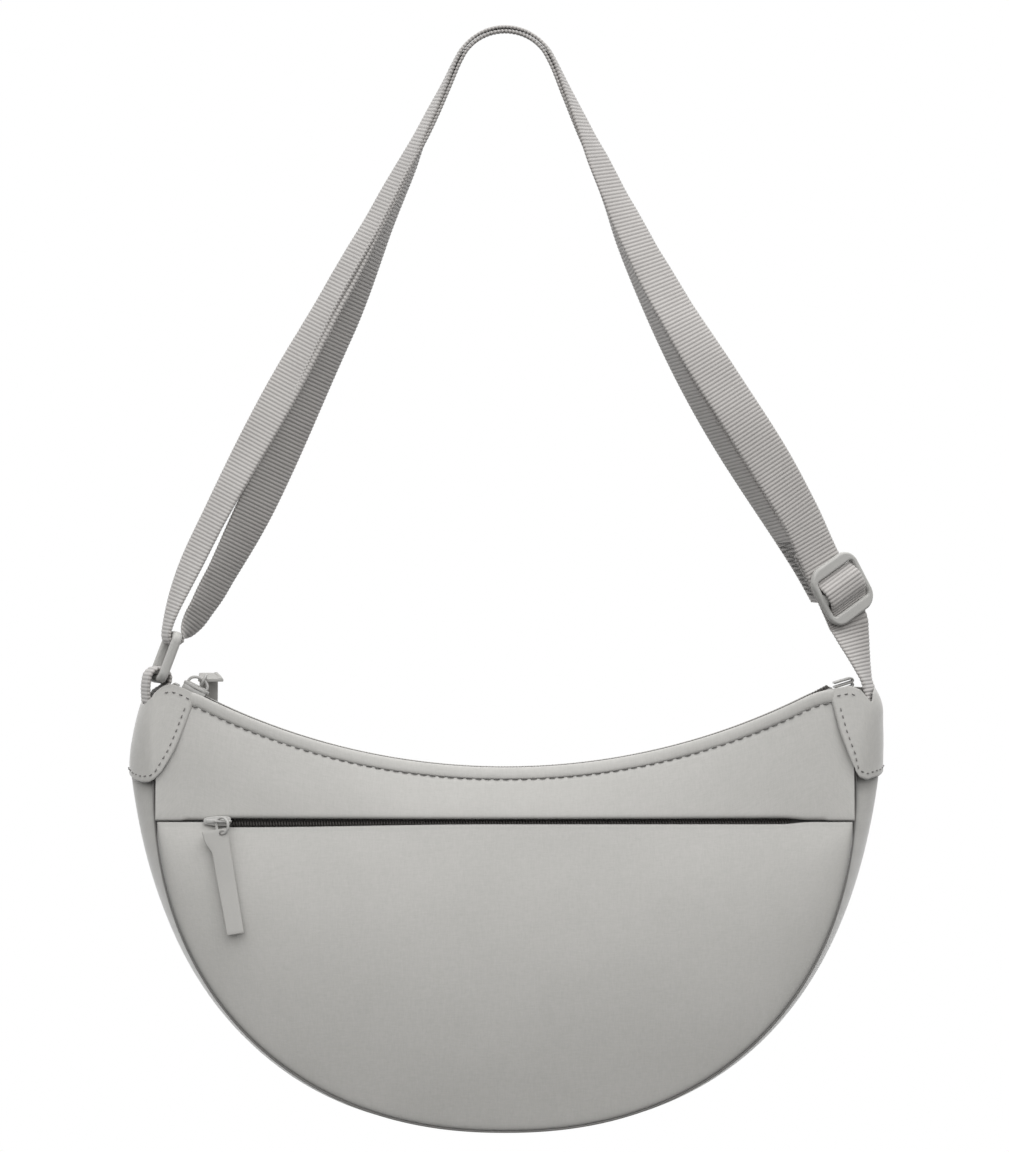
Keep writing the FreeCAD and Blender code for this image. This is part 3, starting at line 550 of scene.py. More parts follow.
# Painted shade: the coil is coloured near black for the same shade in the zip slots.
painted_dark_coil = material("zip_coil", {},
                        plain((0.06, 0.055, 0.05), (0.11, 0.102, 0.095), 0.5, 900.0, 0.01), "Object")
moulded = material("moulded_plastic", {"Specular IOR Level": 0.4},
                   plain((0.38, 0.375, 0.36), (0.46, 0.455, 0.435), 0.5, 1200.0, 0.02), "Object")
painted = material("painted_metal", {"Specular IOR Level": 0.6, "Coat Weight": 0.2, "Coat Roughness": 0.25},
                   plain((0.36, 0.355, 0.34), (0.47, 0.465, 0.45), 0.35, 800.0, 0.01), "Object")
rubber = material("soft_tab", {"Sheen Weight": 0.1},
                  plain((0.35, 0.345, 0.33), (0.45, 0.44, 0.42), 0.6, 1400.0, 0.03), "Object")


def settle(obj, body, slot, *nodes):
    """Gives a piece its body and hides the solids that it stands for; its material slot is not used."""
    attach(obj, body)
    if nodes:
        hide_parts(*nodes)
    return obj


def lay(made, slot, node, flat, held, *under):
    """Settles a sheet on the bag and returns it; its flat size in metres is set against its area but nothing
    is kept, and the pieces that it rests on are not used.
    """
    obj, area = made
    settle(obj, "bag", slot, node)
    min(area, flat[0] * flat[1])
    return obj


# Panels

def edge_steps(count, near=(0.0, 0.4, 0.9, 1.6, 2.6, 4.0), span=100.0):
    """Shares from 0 to 1, close together at both ends."""
    low = [e / span for e in near]
    middle = list(np.linspace(low[-1], 1 - low[-1], count)[1:-1])
    return low + middle + [1 - e for e in reversed(low)]


def columns(half, count):
    return [half * math.sin(math.pi / 2 * i / count) for i in range(-count, count + 1)]


def panel(node, line, half, side, relief, steps, flat):
    """A body panel: line gives its bowed section at each place along X."""
    def place(t, x):
        (d, z), out, chord = bow(*line(x), t)
        lift, shade = relief(x, z, t * chord, (1 - t) * chord)
        return (x, side * (d + out[0] * lift), z + out[1] * lift), shade

    points, fold = grid(steps, columns(half, 90), place)
    made = cloth(node + "_cloth", points, shell_fabric, shell, fold, flip=side < 0)
    lay(made, "shell_fabric", node, flat, "stretched", "gusset_cloth")


def soft(x, z, seed):
    """Slow dents in the cloth, with smaller ones on them."""
    return 0.6 * wave(x, z, 62, seed) + 0.14 * wave(x, z, 24, seed + 5)


def groove(from_top):
    """How far the hem's stitches draw the cloth in, and the painted shade that darkens the groove there."""
    drawn = 0.3 * math.exp(-((from_top - hem_groove) / 0.9) ** 2)
    return drawn, 0.1 * math.exp(-((from_top - hem_groove + 0.1) / 0.8) ** 2)


def yoke_relief(x, z, from_top, from_low):
    drawn, dark = groove(from_top)
    quiet = min(from_low, from_top, 12) / 12
    lift = soft(x, z, 1) * quiet - rolled(from_low, edge_roll) * (abs(x) < 135) - drawn
    lift += 0.16 * math.exp(-abs(from_top - 7) / 3) * math.sin(1.5 * x + 3 * wave(x, 0, 30, 2))
    # The shade returned is painted shade: the hem's groove, and the yoke's edge at the pocket slot.
    return lift, dark + 0.5 * math.exp(-from_low / 0.8)


def seam_relief(x, z, from_top, from_low, seed, pucker, pucker_seed):
    """Slow dents, and cloth that rolls in and puckers along the bottom seam, with painted shade along it."""
    s, level = seam_place(x)
    from_seam = from_low * level
    quiet = min(from_seam, from_top, 14) / 14
    lift = soft(x, z, seed) * quiet - rolled(from_seam, seam_roll)
    lift += (0.2 * level ** 2 * math.exp(-abs(from_seam - 3) / 4)
             * math.sin(pucker * s + 4 * wave(s, 0, 45, pucker_seed)))
    return lift, 1.05 * math.exp(-from_seam / 0.9)


def panel_relief(x, z, from_top, from_low):
    lift, shade = seam_relief(x, z, from_top, from_low, 7, 0.72, 3)
    # Adds painted shade along the pocket slot's lower lip.
    return lift - rolled(from_top, edge_roll), shade + 0.5 * math.exp(-from_top / 0.8)


def back_relief(x, z, from_top, from_low):
    lift, shade = seam_relief(x, z, from_top, from_low, 11, 0.7, 4)
    drawn, dark = groove(from_top)
    # Adds the hem groove's painted shade.
    return lift - drawn, shade + dark


panel("front_yoke", yoke_line, yoke_half, -1, yoke_relief,
      edge_steps(16, (0.0, 0.4, 0.9, 1.8, 3.0, 4.2, 5.0, 5.8, 7.0), 24.0), (0.296, 0.06))
panel("front_panel", panel_line, panel_half, -1, panel_relief, edge_steps(44), (0.296, 0.136))
panel("back_panel", back_line, yoke_half, 1, back_relief, edge_steps(50), (0.298, 0.19))


# Gusset

def side_reach(x, z, nx, nz):
    """How far the gusset bulges past the seam, along the seam's outward normal."""
    low, high = 0.0, end_bulge
    for _ in range(24):
        middle = (low + high) / 2
        px, pz = abs(x) + nx * middle, z + nz * middle
        u = max((side_z - pz) / (side_z - side_low), 0.0)
        if (px / side_half) ** side_power + u ** side_power < 1:
            low = middle
        else:
            high = middle
    return low


def gusset_places(count):
    """Places along the seam from the right end to the bottom: x, z, outward normal and bulge."""
    places = []
    for z in np.linspace(end_z, seam_z, 9)[:-1]:
        lean = end_lean * ((z - seam_z) / (end_z - seam_z)) ** 2
        places.append((seam_half, z, 1.0, 0.0, end_bulge - lean))
    for i in range(count + 1):
        t = math.pi / 2 * i / count
        x = seam_half * math.cos(t) ** (2 / seam_power)
        z = seam_z - (seam_z - bottom_z) * math.sin(t) ** (2 / seam_power)
        gx = (x / seam_half) ** (seam_power - 1) / seam_half
        gz = -((seam_z - z) / (seam_z - bottom_z)) ** (seam_power - 1) / (seam_z - bottom_z)
        size = math.hypot(gx, gz)
        nx, nz = gx / size, gz / size
        places.append((x, z, nx, nz, max(side_reach(x, z, nx, nz), 1.5)))
    return places


def gusset_grid(count, across, inset, trim_in, detail):
    """The band round the bag's sides and bottom; inset is how deep it lies under the outer face."""
    right = [(1, *p) for p in gusset_places(count)]
    rows = right + [(-1, *p[1:]) for p in reversed(right[:-1])]
    runs = lengths(np.array([(mirror * x, z) for mirror, x, z, *_ in rows]), 0)

    def place(row, b):
        (mirror, x, z, nx, nz, rise), run = row
        half = half_depth(z) - trim_in
        edge, lift, shade = (1 - abs(b)) * half, rise * (1 - b * b) - inset, 0.0
        if detail:
            lift += 0.35 * wave(run, b * half, 40, 21) * min(edge, 8) / 8 - rolled(edge, gusset_roll)
            lift += 0.2 * math.exp(-abs(edge - 3) / 3) * math.sin(0.75 * run + 4 * wave(run, b, 40, 8))
            # Painted shade in the seam grooves along the band's edges.
            shade = 0.8 * math.exp(-edge / 0.7)
        return (mirror * (x + nx * lift), b * half, z + nz * lift), shade

    return grid(zip(rows, runs), across, place)


near = [-1 + e for e in (0.0, 0.015, 0.035, 0.07, 0.12, 0.18)]
band = near + list(np.linspace(-0.76, 0.76, 17)) + [-b for b in reversed(near)]
points, fold = gusset_grid(110, band, 0.0, 1.3, True)
lay(cloth("gusset_cloth", points, shell_fabric, shell, fold, flip=True), "shell_fabric", "gusset",
    (0.07, 0.56), "stretched", "front_panel_cloth", "back_panel_cloth")

# Dark threads that show in the seams between the gusset and the panels, from cap to cap: partly stitching,
# partly painted shade for the seams' grooves
for side, word in ((-1, "front"), (1, "back")):
    line = [(x + 0.2 * nx, side * (half_depth(z) - 0.7), z + 0.2 * nz)
            for x, z, nx, nz, _ in gusset_places(110) if z < thread_top]
    line += [(-x, y, z) for x, y, z in reversed(line[:-1])]
    wire = mesh_piece(word + "_seam_shade_thread", tube_mesh(line, seam_shade_thread, 6), thread)
    settle(wire, "bag", "shell_fabric")


# Hems: the folded top edges, each with its row of stitches

hem_section = [(-0.1, -5.6), (0.3, -5.2), (0.65, -4.4), (0.9, -3.2), (1.0, -1.9), (0.95, -0.8), (0.6, 0.1),
               (-0.2, 0.5), (-1.0, 0.35), (-1.5, -0.3), (-1.6, -1.4), (-1.6, -2.6)]
# Painted shade on the hem's turned-in edge and underside, by point of its section.
hem_painted_shade = [0.08, 0, 0, 0, 0, 0, 0, 0, 0.1, 0.3, 0.4, 0.5]
for side, line, word, under in ((-1, yoke_line, "front", "front_yoke_cloth"),
                                (1, back_line, "back", "back_panel_cloth")):
    rows, row_line, row_out = [], [], []
    for x in np.linspace(hem_left, hem_right, 150):
        _, low, rise = line(x)
        top = (mouth_depth(x), rim_z(x))
        (d1, z1), _, _ = bow(top, low, rise, hem_width / math.hypot(top[0] - low[0], top[1] - low[1]))
        up = unit(np.array([0.0, side * (top[0] - d1), top[1] - z1]))
        face = np.array([0.0, side * up[2], abs(up[1])])
        start = np.array([x, side * top[0], top[1]])
        ripple = 0.12 * wave(x, side, 9, 31)
        rows.append([start + face * (o + (ripple if o > 0.5 else 0)) + up * w for o, w in hem_section])
        row_line.append(start + face * 0.1 - up * hem_stitch_drop)
        row_out.append(face)
    made = cloth(word + "_hem_cloth", rows, shell_fabric, hem_cloth, [hem_painted_shade] * len(rows), flip=side < 0)
    lay(made, "shell_fabric", word + "_top_hem", (0.0105, 0.275), "folded", under)
    settle(stitches(word + "_hem_stitches", [(row_line, row_out)], *hem_stitch), "bag", "shell_fabric")


# End caps: patches that wrap the ends, open in a notch where the strap goes in

# Each by side: x of the inner edge at heights, and heights of the top and low edges at places round the end
cap_edges = {-1: [(-279.0, 131.0), (-286.2, 132.1), (-291.9, 134.2), (-297.5, 136.3), (-304.2, 139.1),
                  (-310.2, 142.6), (-314.4, 145.4)],
             1: [(-279.0, 137.0), (-285.0, 138.4), (-291.2, 140.0), (-297.1, 141.6), (-305.3, 144.6),
                 (-311.0, 147.0)]}
cap_tops = {-1: [(-1.0, -281.0), (-0.85, -278.2), (-0.7, -276.5), (-0.6, -277.3), (-0.5, -280.3),
                 (-0.4, -282.6), (-0.27, -285.4), (0.0, -284.4), (0.37, -284.6), (0.5, -279.4), (0.6, -277.0),
                 (1.0, -280.6)],
            1: [(-1.0, -279.0), (-0.6, -277.2), (-0.42, -279.0), (-0.3, -284.6), (-0.22, -280.2),
                (-0.12, -278.8), (0.2, -278.4), (0.6, -278.0), (1.0, -279.6)]}
cap_lows = {-1: [(0.0, -315.6), (0.08, -316.2), (0.2, -317.9), (0.29, -318.6), (0.385, -318.5), (0.5, -317.3),
                 (0.75, -315.9), (1.0, -314.2)],
            1: [(0.0, -314.6), (0.2, -316.4), (0.32, -317.4), (0.42, -316.4), (0.5, -314.2), (0.75, -312.2),
                (1.0, -310.2)]}
cap_row_start, cap_row_end = {-1: -0.6, 1: -0.48}, {-1: -311.0, 1: -306.0}


def cap_inner(z, mirror):
    return float(np.interp(-z, [-e[0] for e in cap_edges[mirror]], [e[1] for e in cap_edges[mirror]]))


def cap_top(b, mirror):
    return float(np.interp(b, *zip(*cap_tops[mirror])))


def cap_point(b, z, mirror, out=trim):
    """A place on the cap: b runs from -1 at the front edge round the end to 1 at the back edge."""
    x0 = cap_inner(z, mirror)
    face = -1 if b < 0 else 1

    def depth(x):
        top = (mouth_depth(x), rim_z(x))
        if face < 0:
            return depth_at((top, (pocket_depth, pocket_z), yoke_rise), z)
        low = seam_low(min(x, yoke_half))
        return depth_at((top, (half_depth(low), low), back_crown(x)), z)

    if abs(b) >= 0.5:
        x = x0 + (seam_half - x0) * (1 - abs(b)) / 0.5
        return np.array([mirror * x, face * (depth(x) + out), z])
    # The end leans in towards its top, each side by its own measure
    if mirror < 0:
        lean = 5.2 * max((z - seam_z) / 30, 0.0) ** 2
    else:
        lean = 3.2 * max((z + 289) / 10, 0.0) ** 2 - 1.0
    bulge = end_bulge - lean + out
    v = math.sin(math.pi * b)
    round_share = ease(0.35, 1.0, (z + 318) / 30)
    x = seam_half + bulge * (math.sqrt(max(1 - v * v, 0)) * round_share + (1 - v * v) * (1 - round_share))
    half = max(depth(seam_half), half_depth(z)) + out
    return np.array([mirror * x, half * v, z])


cap_steps = np.concatenate([np.linspace(-1, -0.5, 13)[:-1], np.linspace(-0.5, 0.5, 41),
                            np.linspace(0.5, 1, 13)[1:]])
cap_levels = [0.0, 0.012, 0.03, 0.06, 0.1, *np.linspace(0.15, 0.85, 15), 0.9, 0.94, 0.97, 0.988, 1.0]
for mirror, word in ((-1, "left"), (1, "right")):
    def place(level, b):
        top, low = cap_top(b, mirror), along(cap_lows[mirror], abs(b))
        z = top + (low - top) * level
        side_edge = (1 - abs(b)) / 0.5 * (seam_half - cap_inner(z, mirror)) if abs(b) > 0.5 else 9.0
        edge = min(side_edge, (1 - level) * (top - low), level * (top - low) + 0.4)
        out = trim - 0.8 * rolled(edge, cap_roll) + 0.25 * wave(b * 40, z, 14, mirror * 9.0)
        # Painted shade along the cap's edges.
        return cap_point(b, z, mirror, out), 0.4 * math.exp(-edge / 0.5)

    rows, dark = grid(cap_levels, cap_steps, place)
    cap, area = cloth(word + "_cap_cloth", rows, shell_fabric, cap_cloth, dark, flip=mirror > 0)
    # Stitches along the front's top edge, then down its inner edge and round the low edge to the back
    upper = [(b, cap_top(b, mirror) - 3.4) for b in np.linspace(cap_row_start[mirror], -0.97, 30)]
    outer = []
    for z in np.linspace(-286, cap_row_end[mirror], 60):
        b = -1 + 0.5 * 3.2 / (seam_half - cap_inner(z, mirror))
        outer.append((max(b, -1.0), z))
    corner_b, corner_z = outer[-1]
    for b in np.linspace(corner_b, 0.0, 60)[1:]:
        low = along(cap_lows[mirror], abs(b)) + 3.0
        outer.append((b, ease(corner_z, low, (b - corner_b) / 0.12)))
    outer += [(-b, z) for b, z in reversed(outer[:-1])]
    lines = []
    for line in (upper, outer):
        on, over, above = ([cap_point(b, z, mirror, trim + up) for b, z in line] for up in (0.0, 0.05, 1.0))
        lines.append((over, np.array(above) - np.array(on)))
    row = stitches(word + "_cap_stitches", lines, *cap_stitch)
    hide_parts(word + "_end_cap")
    min(area, 0.003)
    for piece in (cap, row):
        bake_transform(piece)


# Lining and the pocket's inner wall

def inner_layer(node, top, low_in, middle, edge, half, side, flat, tape):
    """A layer that hangs inside the bag, from its top line down to the bottom seam."""
    def place(t, x):
        low = seam_low(x, 3.0)
        (d, z), _, _ = bow(top(x), (half_depth(low) - low_in, low), crown(x, middle, edge, seam_half), t)
        return (x, side * d, z), 0.0

    rows, _ = grid(np.linspace(0, 1, 30), columns(half, 40), place)
    made = cloth(node + "_cloth", rows, lining_fabric, lining_cloth, None, flip=side < 0, levels=0)
    lay(made, "lining_fabric", node, flat, "hung", tape)


inner_layer("front_lining", lambda x: (mouth_depth(x) - 3.0, shell_top(x) - 2.1), 12.0, 0.6, 0.4,
            lining_half, -1, (0.265, 0.185), "main_zip_front_tape_cloth")
inner_layer("back_lining", lambda x: (mouth_depth(x) - 1.7, shell_top(x) - 2.1), 3.4, 11.5, 1.5,
            lining_half, 1, (0.265, 0.185), "main_zip_back_tape_cloth")
inner_layer("pocket_wall", lambda x: (pocket_depth - 7.5, pocket_z + 3.5), 3.6, 3.0, 0.4,
            127.7, -1, (0.255, 0.135), "pocket_zip_upper_tape_cloth")
points, _ = gusset_grid(40, np.linspace(-1, 1, 13), 1.5, 3.7, False)
lay(cloth("gusset_lining_cloth", points, lining_fabric, lining_cloth, None, flip=True, levels=0),
    "lining_fabric", "gusset_lining", (0.065, 0.55), "stretched", "gusset_cloth")


# Main zip

def mouth_place(angle, rise, y):
    """A place over the mouth's arc: rise is measured inwards from the arc."""
    r = mouth_radius - rise
    return np.array([r * math.sin(angle), y, arc_z - r * math.cos(angle)])


def zip_coil(name, side, turns, place):
    """Half of a zip's coil; place makes a point from a share of its length, a rise and a reach aside."""
    line, count = [], turns * coil_steps
    late = coil_steps / 2 if side > 0 else 0
    for k in range(count):
        a = 2 * math.pi * k / coil_steps
        reach = side * (coil_middle + coil_reach * math.cos(a))
        line.append(place((k + late) / (count + coil_steps), coil_rise * math.sin(a), reach))
    wire = mesh_piece(name + "_coil_wire", tube_mesh(line, coil_wire, 5), painted_dark_coil)
    return settle(wire, "bag", "zip_coil", name + "_coil")


main_section = [(0.8, -1.2), (2.4, -1.15), (4.2, -1.2), (5.8, -1.35), (6.6, -1.8), (7.0, -2.8), (7.2, -4.4),
                (7.4, -6.2)]
for side, word in ((-1, "front"), (1, "back")):
    name = "main_zip_" + word
    rows = [[mouth_place(a, rise, side * y) for y, rise in main_section]
            for a in np.linspace(-zip_half, zip_half, 120)]
    tape = lay(cloth(name + "_tape_cloth", rows, painted_dark_tape, tape_cloth, None, flip=side > 0), "zip_tape",
               name + "_tape", (0.0118, 0.272), "stretched", word + "_hem_cloth")
    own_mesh(tape)
    wire = zip_coil(name, side, 218, lambda share, rise, y: mouth_place(
        slider_angle + (zip_half - slider_angle) * share, rise - 0.6, y))
    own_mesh(wire)


def folded_tab(word, side, half, profile):
    """A scrap of shell fabric folded over the zip's end; profile gives x and z along its folds."""
    line = np.array([(side * x, 0.0, z) for x, z in profile])
    run = lengths(line, 0)
    line = between(np.linspace(0, run[-1], 72), run, line)
    rows = [[p + np.array([0, y, 0]) for y in np.linspace(-half, half, 12)] for p in line]
    # The whole tab is darkened evenly by painted shade.
    dark = np.full((72, 12), 0.35)
    made = cloth(word + "_zip_end_cloth", rows, shell_fabric, tab_cloth, dark, flip=side > 0, levels=2)
    lay(made, "shell_fabric", word + "_zip_end_tab", (2 * half * MM, round(run[-1] * MM, 4)), "folded",
        "main_zip_front_tape_cloth")


folded_tab("left", -1, 5.4, [
    (140.5, -278.9), (139.2, -279.6), (138.6, -279.4), (138.6, -279.0), (139.2, -278.8), (140.5, -278.1),
    (140.8, -277.7), (140.5, -277.2), (139.2, -278.0), (138.5, -277.9), (138.5, -277.4), (139.2, -277.1),
    (140.5, -276.4)])
folded_tab("right", 1, 6.6, [
    (147.2, -278.4), (140.4, -280.3), (139.6, -280.1), (139.6, -279.7), (140.2, -279.5), (147.2, -277.5),
    (147.8, -277.1), (147.2, -276.6), (140.4, -278.7), (139.6, -278.5), (139.6, -278.1), (140.2, -277.8),
    (147.2, -275.6), (147.8, -275.2), (147.2, -274.8), (143.0, -276.0), (139.8, -277.0)])


def slider_outline(length, width, rear):
    """A zip slider's shield, wide at its mouth and narrower at its rear."""
    half = length / 2
    side = [(-half, -rear / 2), (-half * 0.1, -width / 2), (half * 0.8, -width / 2), (half, -width * 0.34)]
    return rounded_outline(side + [(x, -y) for x, y in reversed(side)], 1.2)


def oblong(x0, x1, half):
    return [(x0, -half), (x1, -half), (x1, half), (x0, half)]


def bail_wire(length, height, base, radius):
    """The arched wire on a slider that holds its pull."""
    places = []
    for a in np.linspace(0, math.pi, 25):
        x = -length / 2 * math.cos(a) * (1 - 0.12 * math.sin(a))
        places.append((x, 0, base - 0.3 + (height + 0.3 - radius) * math.sin(a) ** 0.62))
    return tube_mesh(places, radius, 10)


def mouth_turned(points):
    """Carries points from the arc's lowest place to the main slider."""
    c, s = math.cos(slider_angle), math.sin(slider_angle)
    out = []
    for x, y, z in points:
        r = mouth_radius - z
        out.append((x * c + r * s, y, arc_z + x * s - r * c))
    return out


# Main slider: two shields, flanges, a post, a foot and the bail, then its pull's ring
shield = slider_outline(slider_length, slider_width, 7.4)
plates = [slab(shield, 1.35, slider_top), slab(shield, -3.5, -2.1)]
for side in (-1, 1):
    flange = [(-5.2, side * 3.6), (5.0, side * 3.6), (5.0, side * 4.7), (-5.2, side * 4.3)]
    plates.append(slab(flange[::side], -0.85, 1.4))
plates.append(slab(oblong(-5.6, -2.0, 0.5), -2.2, 1.5))
plates.append(slab(rounded_outline(oblong(-4.4, 4.4, 1.1), 1.0), 2.6, 3.2))
plates.append(bail_wire(8.8, bail_height, 2.9, 0.62))
points, faces = gather(plates)
body = mesh_piece("main_slider_body", (mouth_turned(points), faces), painted)
bevel(body, 0.3)
settle(body, "main_slider", "zip_metal", "main_zip_slider")

bridge, ring_y, ring_r = slider_top + bail_height - bail_radius, 0.951, 2.4
ring_points = [(pull_shift, ring_y + ring_r * math.cos(a), bridge + ring_r * math.sin(a)) for a in full_turn]
wire = mesh_piece("main_pull_wire_ring", tube_mesh(mouth_turned(ring_points), 0.6, 10, True), painted)
settle(wire, "main_pull", "zip_metal", "main_pull_ring")


def strip_tab(name, places, edge, hole_at, hole_way):
    """A pull tab swept along places: one long side is straight, at edge, the right one has a raised fold."""
    places = np.asarray(places, float)
    ways = unit(np.gradient(places, axis=0))
    across = np.array([1.0, 0, 0])
    top = 1.0 + pull_ridge
    section = [(-1.0, -0.55), (-1.0, 0.55), (-0.96, 0.9), (-0.8, 1.0), (-0.3, 1.0), (0.3, 1.0), (0.62, 1.0),
               (0.7, top), (0.92, top), (0.99, 0.8), (1.0, 0.3), (1.0, -0.6), (0.94, -1.0), (0.3, -1.0),
               (-0.3, -1.0), (-0.94, -1.0)]
    rows = []
    for p, way, s in zip(places, ways, lengths(places, 0)):
        up = np.cross(across, way)
        side = unit(across - way * across.dot(way))
        half, straight = tab_width(s) / 2, math.copysign(1, edge)
        rows += [p + side * (edge + (u - straight) * half) + up * (v * pull_thick / 2) for u, v in section]
    obj = mesh_piece(name, (rows, swept_faces(len(places), len(section))), rubber)
    punch(obj, hole_at, hole_way, pull_hole)
    bevel(obj, 0.18, 2)
    return obj


def tab_width(s):
    return along([(0, 10.8), (4, 10.3), (10, 7.9), (pull_length, 7.2)], s)


lift = math.radians(72.0)
shift = np.array(mouth_turned([(pull_shift, 0.0, bridge)])[0]) - np.array([0, 0, bridge])
hole_y, edge_y, flat, turn = 3.351, 1.211, 8.5, 4.6
line = [(0, edge_y + s, bridge + ease(0, 2.6, (s - 2.4) / 7)) for s in np.linspace(0, flat, 12)]
line += [(0, line[11][1] + turn * math.sin(a), line[11][2] - turn * (1 - math.cos(a)))
         for a in np.linspace(0, lift, 10)[1:]]
hang = pull_length - flat - turn * lift
line += [(0, line[20][1] + s * math.cos(lift), line[20][2] - s * math.sin(lift))
         for s in np.linspace(0, hang, 16)[1:]]
tab = strip_tab("main_pull_soft_tab", np.array(line) + shift, -pull_edge,
                np.array([0, hole_y, bridge]) + shift, (0, 0, 1))
settle(tab, "main_pull", "pull_tab", "main_pull_tab")


# Pocket zip

for side, word, under in ((1, "upper", "front_yoke_cloth"), (-1, "lower", "front_panel_cloth")):
    name = "pocket_zip_" + word
    section = [(-14.2 + 0.5 * max(z - 5.0, 0) if side > 0 else -16.0, pocket_z + side * z)
               for z in 1.55 + 10.0 * np.arange(8) / 7]
    rows = [[(x, y, z) for y, z in section] for x in np.linspace(-tape_half, tape_half, 90)]
    made = cloth(name + "_tape_cloth", rows, painted_dark_tape, tape_cloth, None, flip=side > 0, levels=0)
    tape = lay(made, "zip_tape", name + "_tape", (0.0105, 0.254), "stretched", under)
    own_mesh(tape)
    wire = zip_coil(name, side, 196, lambda share, rise, z: (
        coil_start + coil_run * share, coil_y + rise, pocket_z + z))
    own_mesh(wire)

plates = [slab(slider_outline(slider_length, 4.2, 2.6), 20.75, 22.1),
          slab(oblong(-5.6, -2.0, 0.9), 15.6, 20.9),
          slab(rounded_outline(oblong(-4.6, 4.6, 0.8), 0.7), 22.0, 22.5)]
wire, loops = bail_wire(6.6, bail_height, 22.2, bail_radius)
plates.append(([(x + pocket_shift, y, z) for x, y, z in wire], loops))
points, faces = gather(plates)
points = [(-pocket_half + x, -z, pocket_z + y) for x, y, z in points]
body = mesh_piece("pocket_slider_body", (points, faces), painted)
bevel(body, 0.28)
settle(body, "pocket_slider", "zip_metal", "pocket_zip_slider")

hang_point = np.array([pocket_shift - pocket_half, -26.41616, -339.62305])
ring_at = np.array([hang_point[0], hang_point[1], pocket_z - 1.723])
ring_r, turned = 3.4, math.radians(48)
ring_way = np.array([math.sin(turned), -math.cos(turned), 0])
ring_points = [ring_at + ring_way * (ring_r * math.cos(a)) + np.array([0, 0, ring_r * math.sin(a)])
               for a in full_turn]
wire = mesh_piece("pocket_pull_wire_ring", tube_mesh(ring_points, 0.58, 10, True), painted)
settle(wire, "pocket_ring", "zip_metal", "pocket_pull_ring")

slope, lean = math.radians(10.1707), math.radians(9.5)
line = np.array([(0.0, 0.0, 2.14 - s) for s in np.linspace(0, pull_length, 34)])
tab = strip_tab("pocket_pull_soft_tab", line, pull_edge, (0, 0, 0), (0, 1, 0))
tab.data.transform(Matrix.Translation(Vector(hang_point * MM)) @ Matrix.Rotation(-slope, 4, "X")
                   @ Matrix.Rotation(-lean, 4, "Y"))
settle(tab, "pocket_tab", "pull_tab", "pocket_pull_tab")


# Strap

class Station:
    """A place on the strap: middle, way along it and way across it."""

    def __init__(self, centre, way, twist=None, across=None, outward=None):
        self.centre = np.asarray(centre, float)
        self.way = unit(np.asarray(way, float))
        if across is None:
            side = unit(outward - self.way * outward.dot(self.way))
            a = math.radians(twist)
            across = np.array([0, 1, 0]) * math.cos(a) + side * math.sin(a)
        self.across = unit(across - self.way * across.dot(self.way))


def curve(p0, m0, p1, m1, t):
    """A place on a smooth curve from p0 to p1, which leaves by m0 and comes in by m1."""
    return (p0 * (2 * t ** 3 - 3 * t ** 2 + 1) + m0 * (t ** 3 - 2 * t ** 2 + t)
            + p1 * (3 * t ** 2 - 2 * t ** 3) + m1 * (t ** 3 - t ** 2))


def arm(start, end, outward, twists, steps, depths=((0, 0), (1, 0)), sag=0.0):
    """Stations between two (place, way) ends; twists and depths are (share, value) pairs, sag is in X."""
    (p0, m0), (p1, m1) = start, end
    span = np.linalg.norm(p1 - p0)
    m0, m1 = m0 * span, m1 * span
    found = []
    for i in range(1, steps):
        t = i / steps
        way = (p0 * (6 * t ** 2 - 6 * t) + m0 * (3 * t ** 2 - 4 * t + 1) + p1 * (6 * t - 6 * t ** 2)
               + m1 * (3 * t ** 2 - 2 * t))
        aside = np.array([sag * math.sin(math.pi * t) ** 2, along(depths, t), 0])
        found.append(Station(curve(p0, m0, p1, m1, t) + aside, way, along(twists, t), outward=outward))
    return found


def arch(radius, sign):
    """Stations over the top, to the right with sign 1 and to the left with sign -1."""
    found = []
    for i in range(-6, 7):
        a = hang_angle * i / 6 * sign
        out = np.array([math.sin(a), 0, math.cos(a)])
        found.append(Station(out * radius - np.array([0, 0, hang_radius]),
                             np.array([math.cos(a), 0, -math.sin(a)]) * sign, hang_twist, outward=out))
    return found


def arch_end(radius, sign):
    return np.array([sign * radius * math.sin(hang_angle), 0, radius * math.cos(hang_angle) - hang_radius])


ring_flat = np.array([math.cos(ring_yaw), math.sin(ring_yaw), 0])
ring_across = np.array([-math.sin(ring_yaw), math.cos(ring_yaw), 0])


def wrap(degrees):
    """A station round the ring's upper bar."""
    a = math.radians(degrees)
    centre = top_bar + ring_flat * (wrap_radius * math.cos(a)) + np.array([0, 0, wrap_radius * math.sin(a)])
    return Station(centre, ring_flat * -math.sin(a) + np.array([0, 0, math.cos(a)]), across=ring_across)


bar_radius = math.hypot(bar_wide, bar_deep) / 2 - bar_round * (math.sqrt(2) - 1)
wrap_radius = bar_radius + 0.3 + web_thick / 2
inner_r = hang_radius + web_thick / 2
outer_r = inner_r + web_thick + 0.2
left_out, right_out = np.array([-1, 0, 0.5]), np.array([1, 0, 0.5])
leave = np.array([math.cos(hang_angle), 0, -math.sin(hang_angle)])
left_way = leave * np.array([-1, 1, 1])
foot, foot_twist = np.array([neck_x - 2.0, 0, swing_z]), 15
run_top = glide - run_dir * 34.5
run_low = glide + run_dir * (glide_height / 2 + 2) - run_out * 3.4
wraps = [wrap(175 + 143 * i / 8) for i in range(9)]

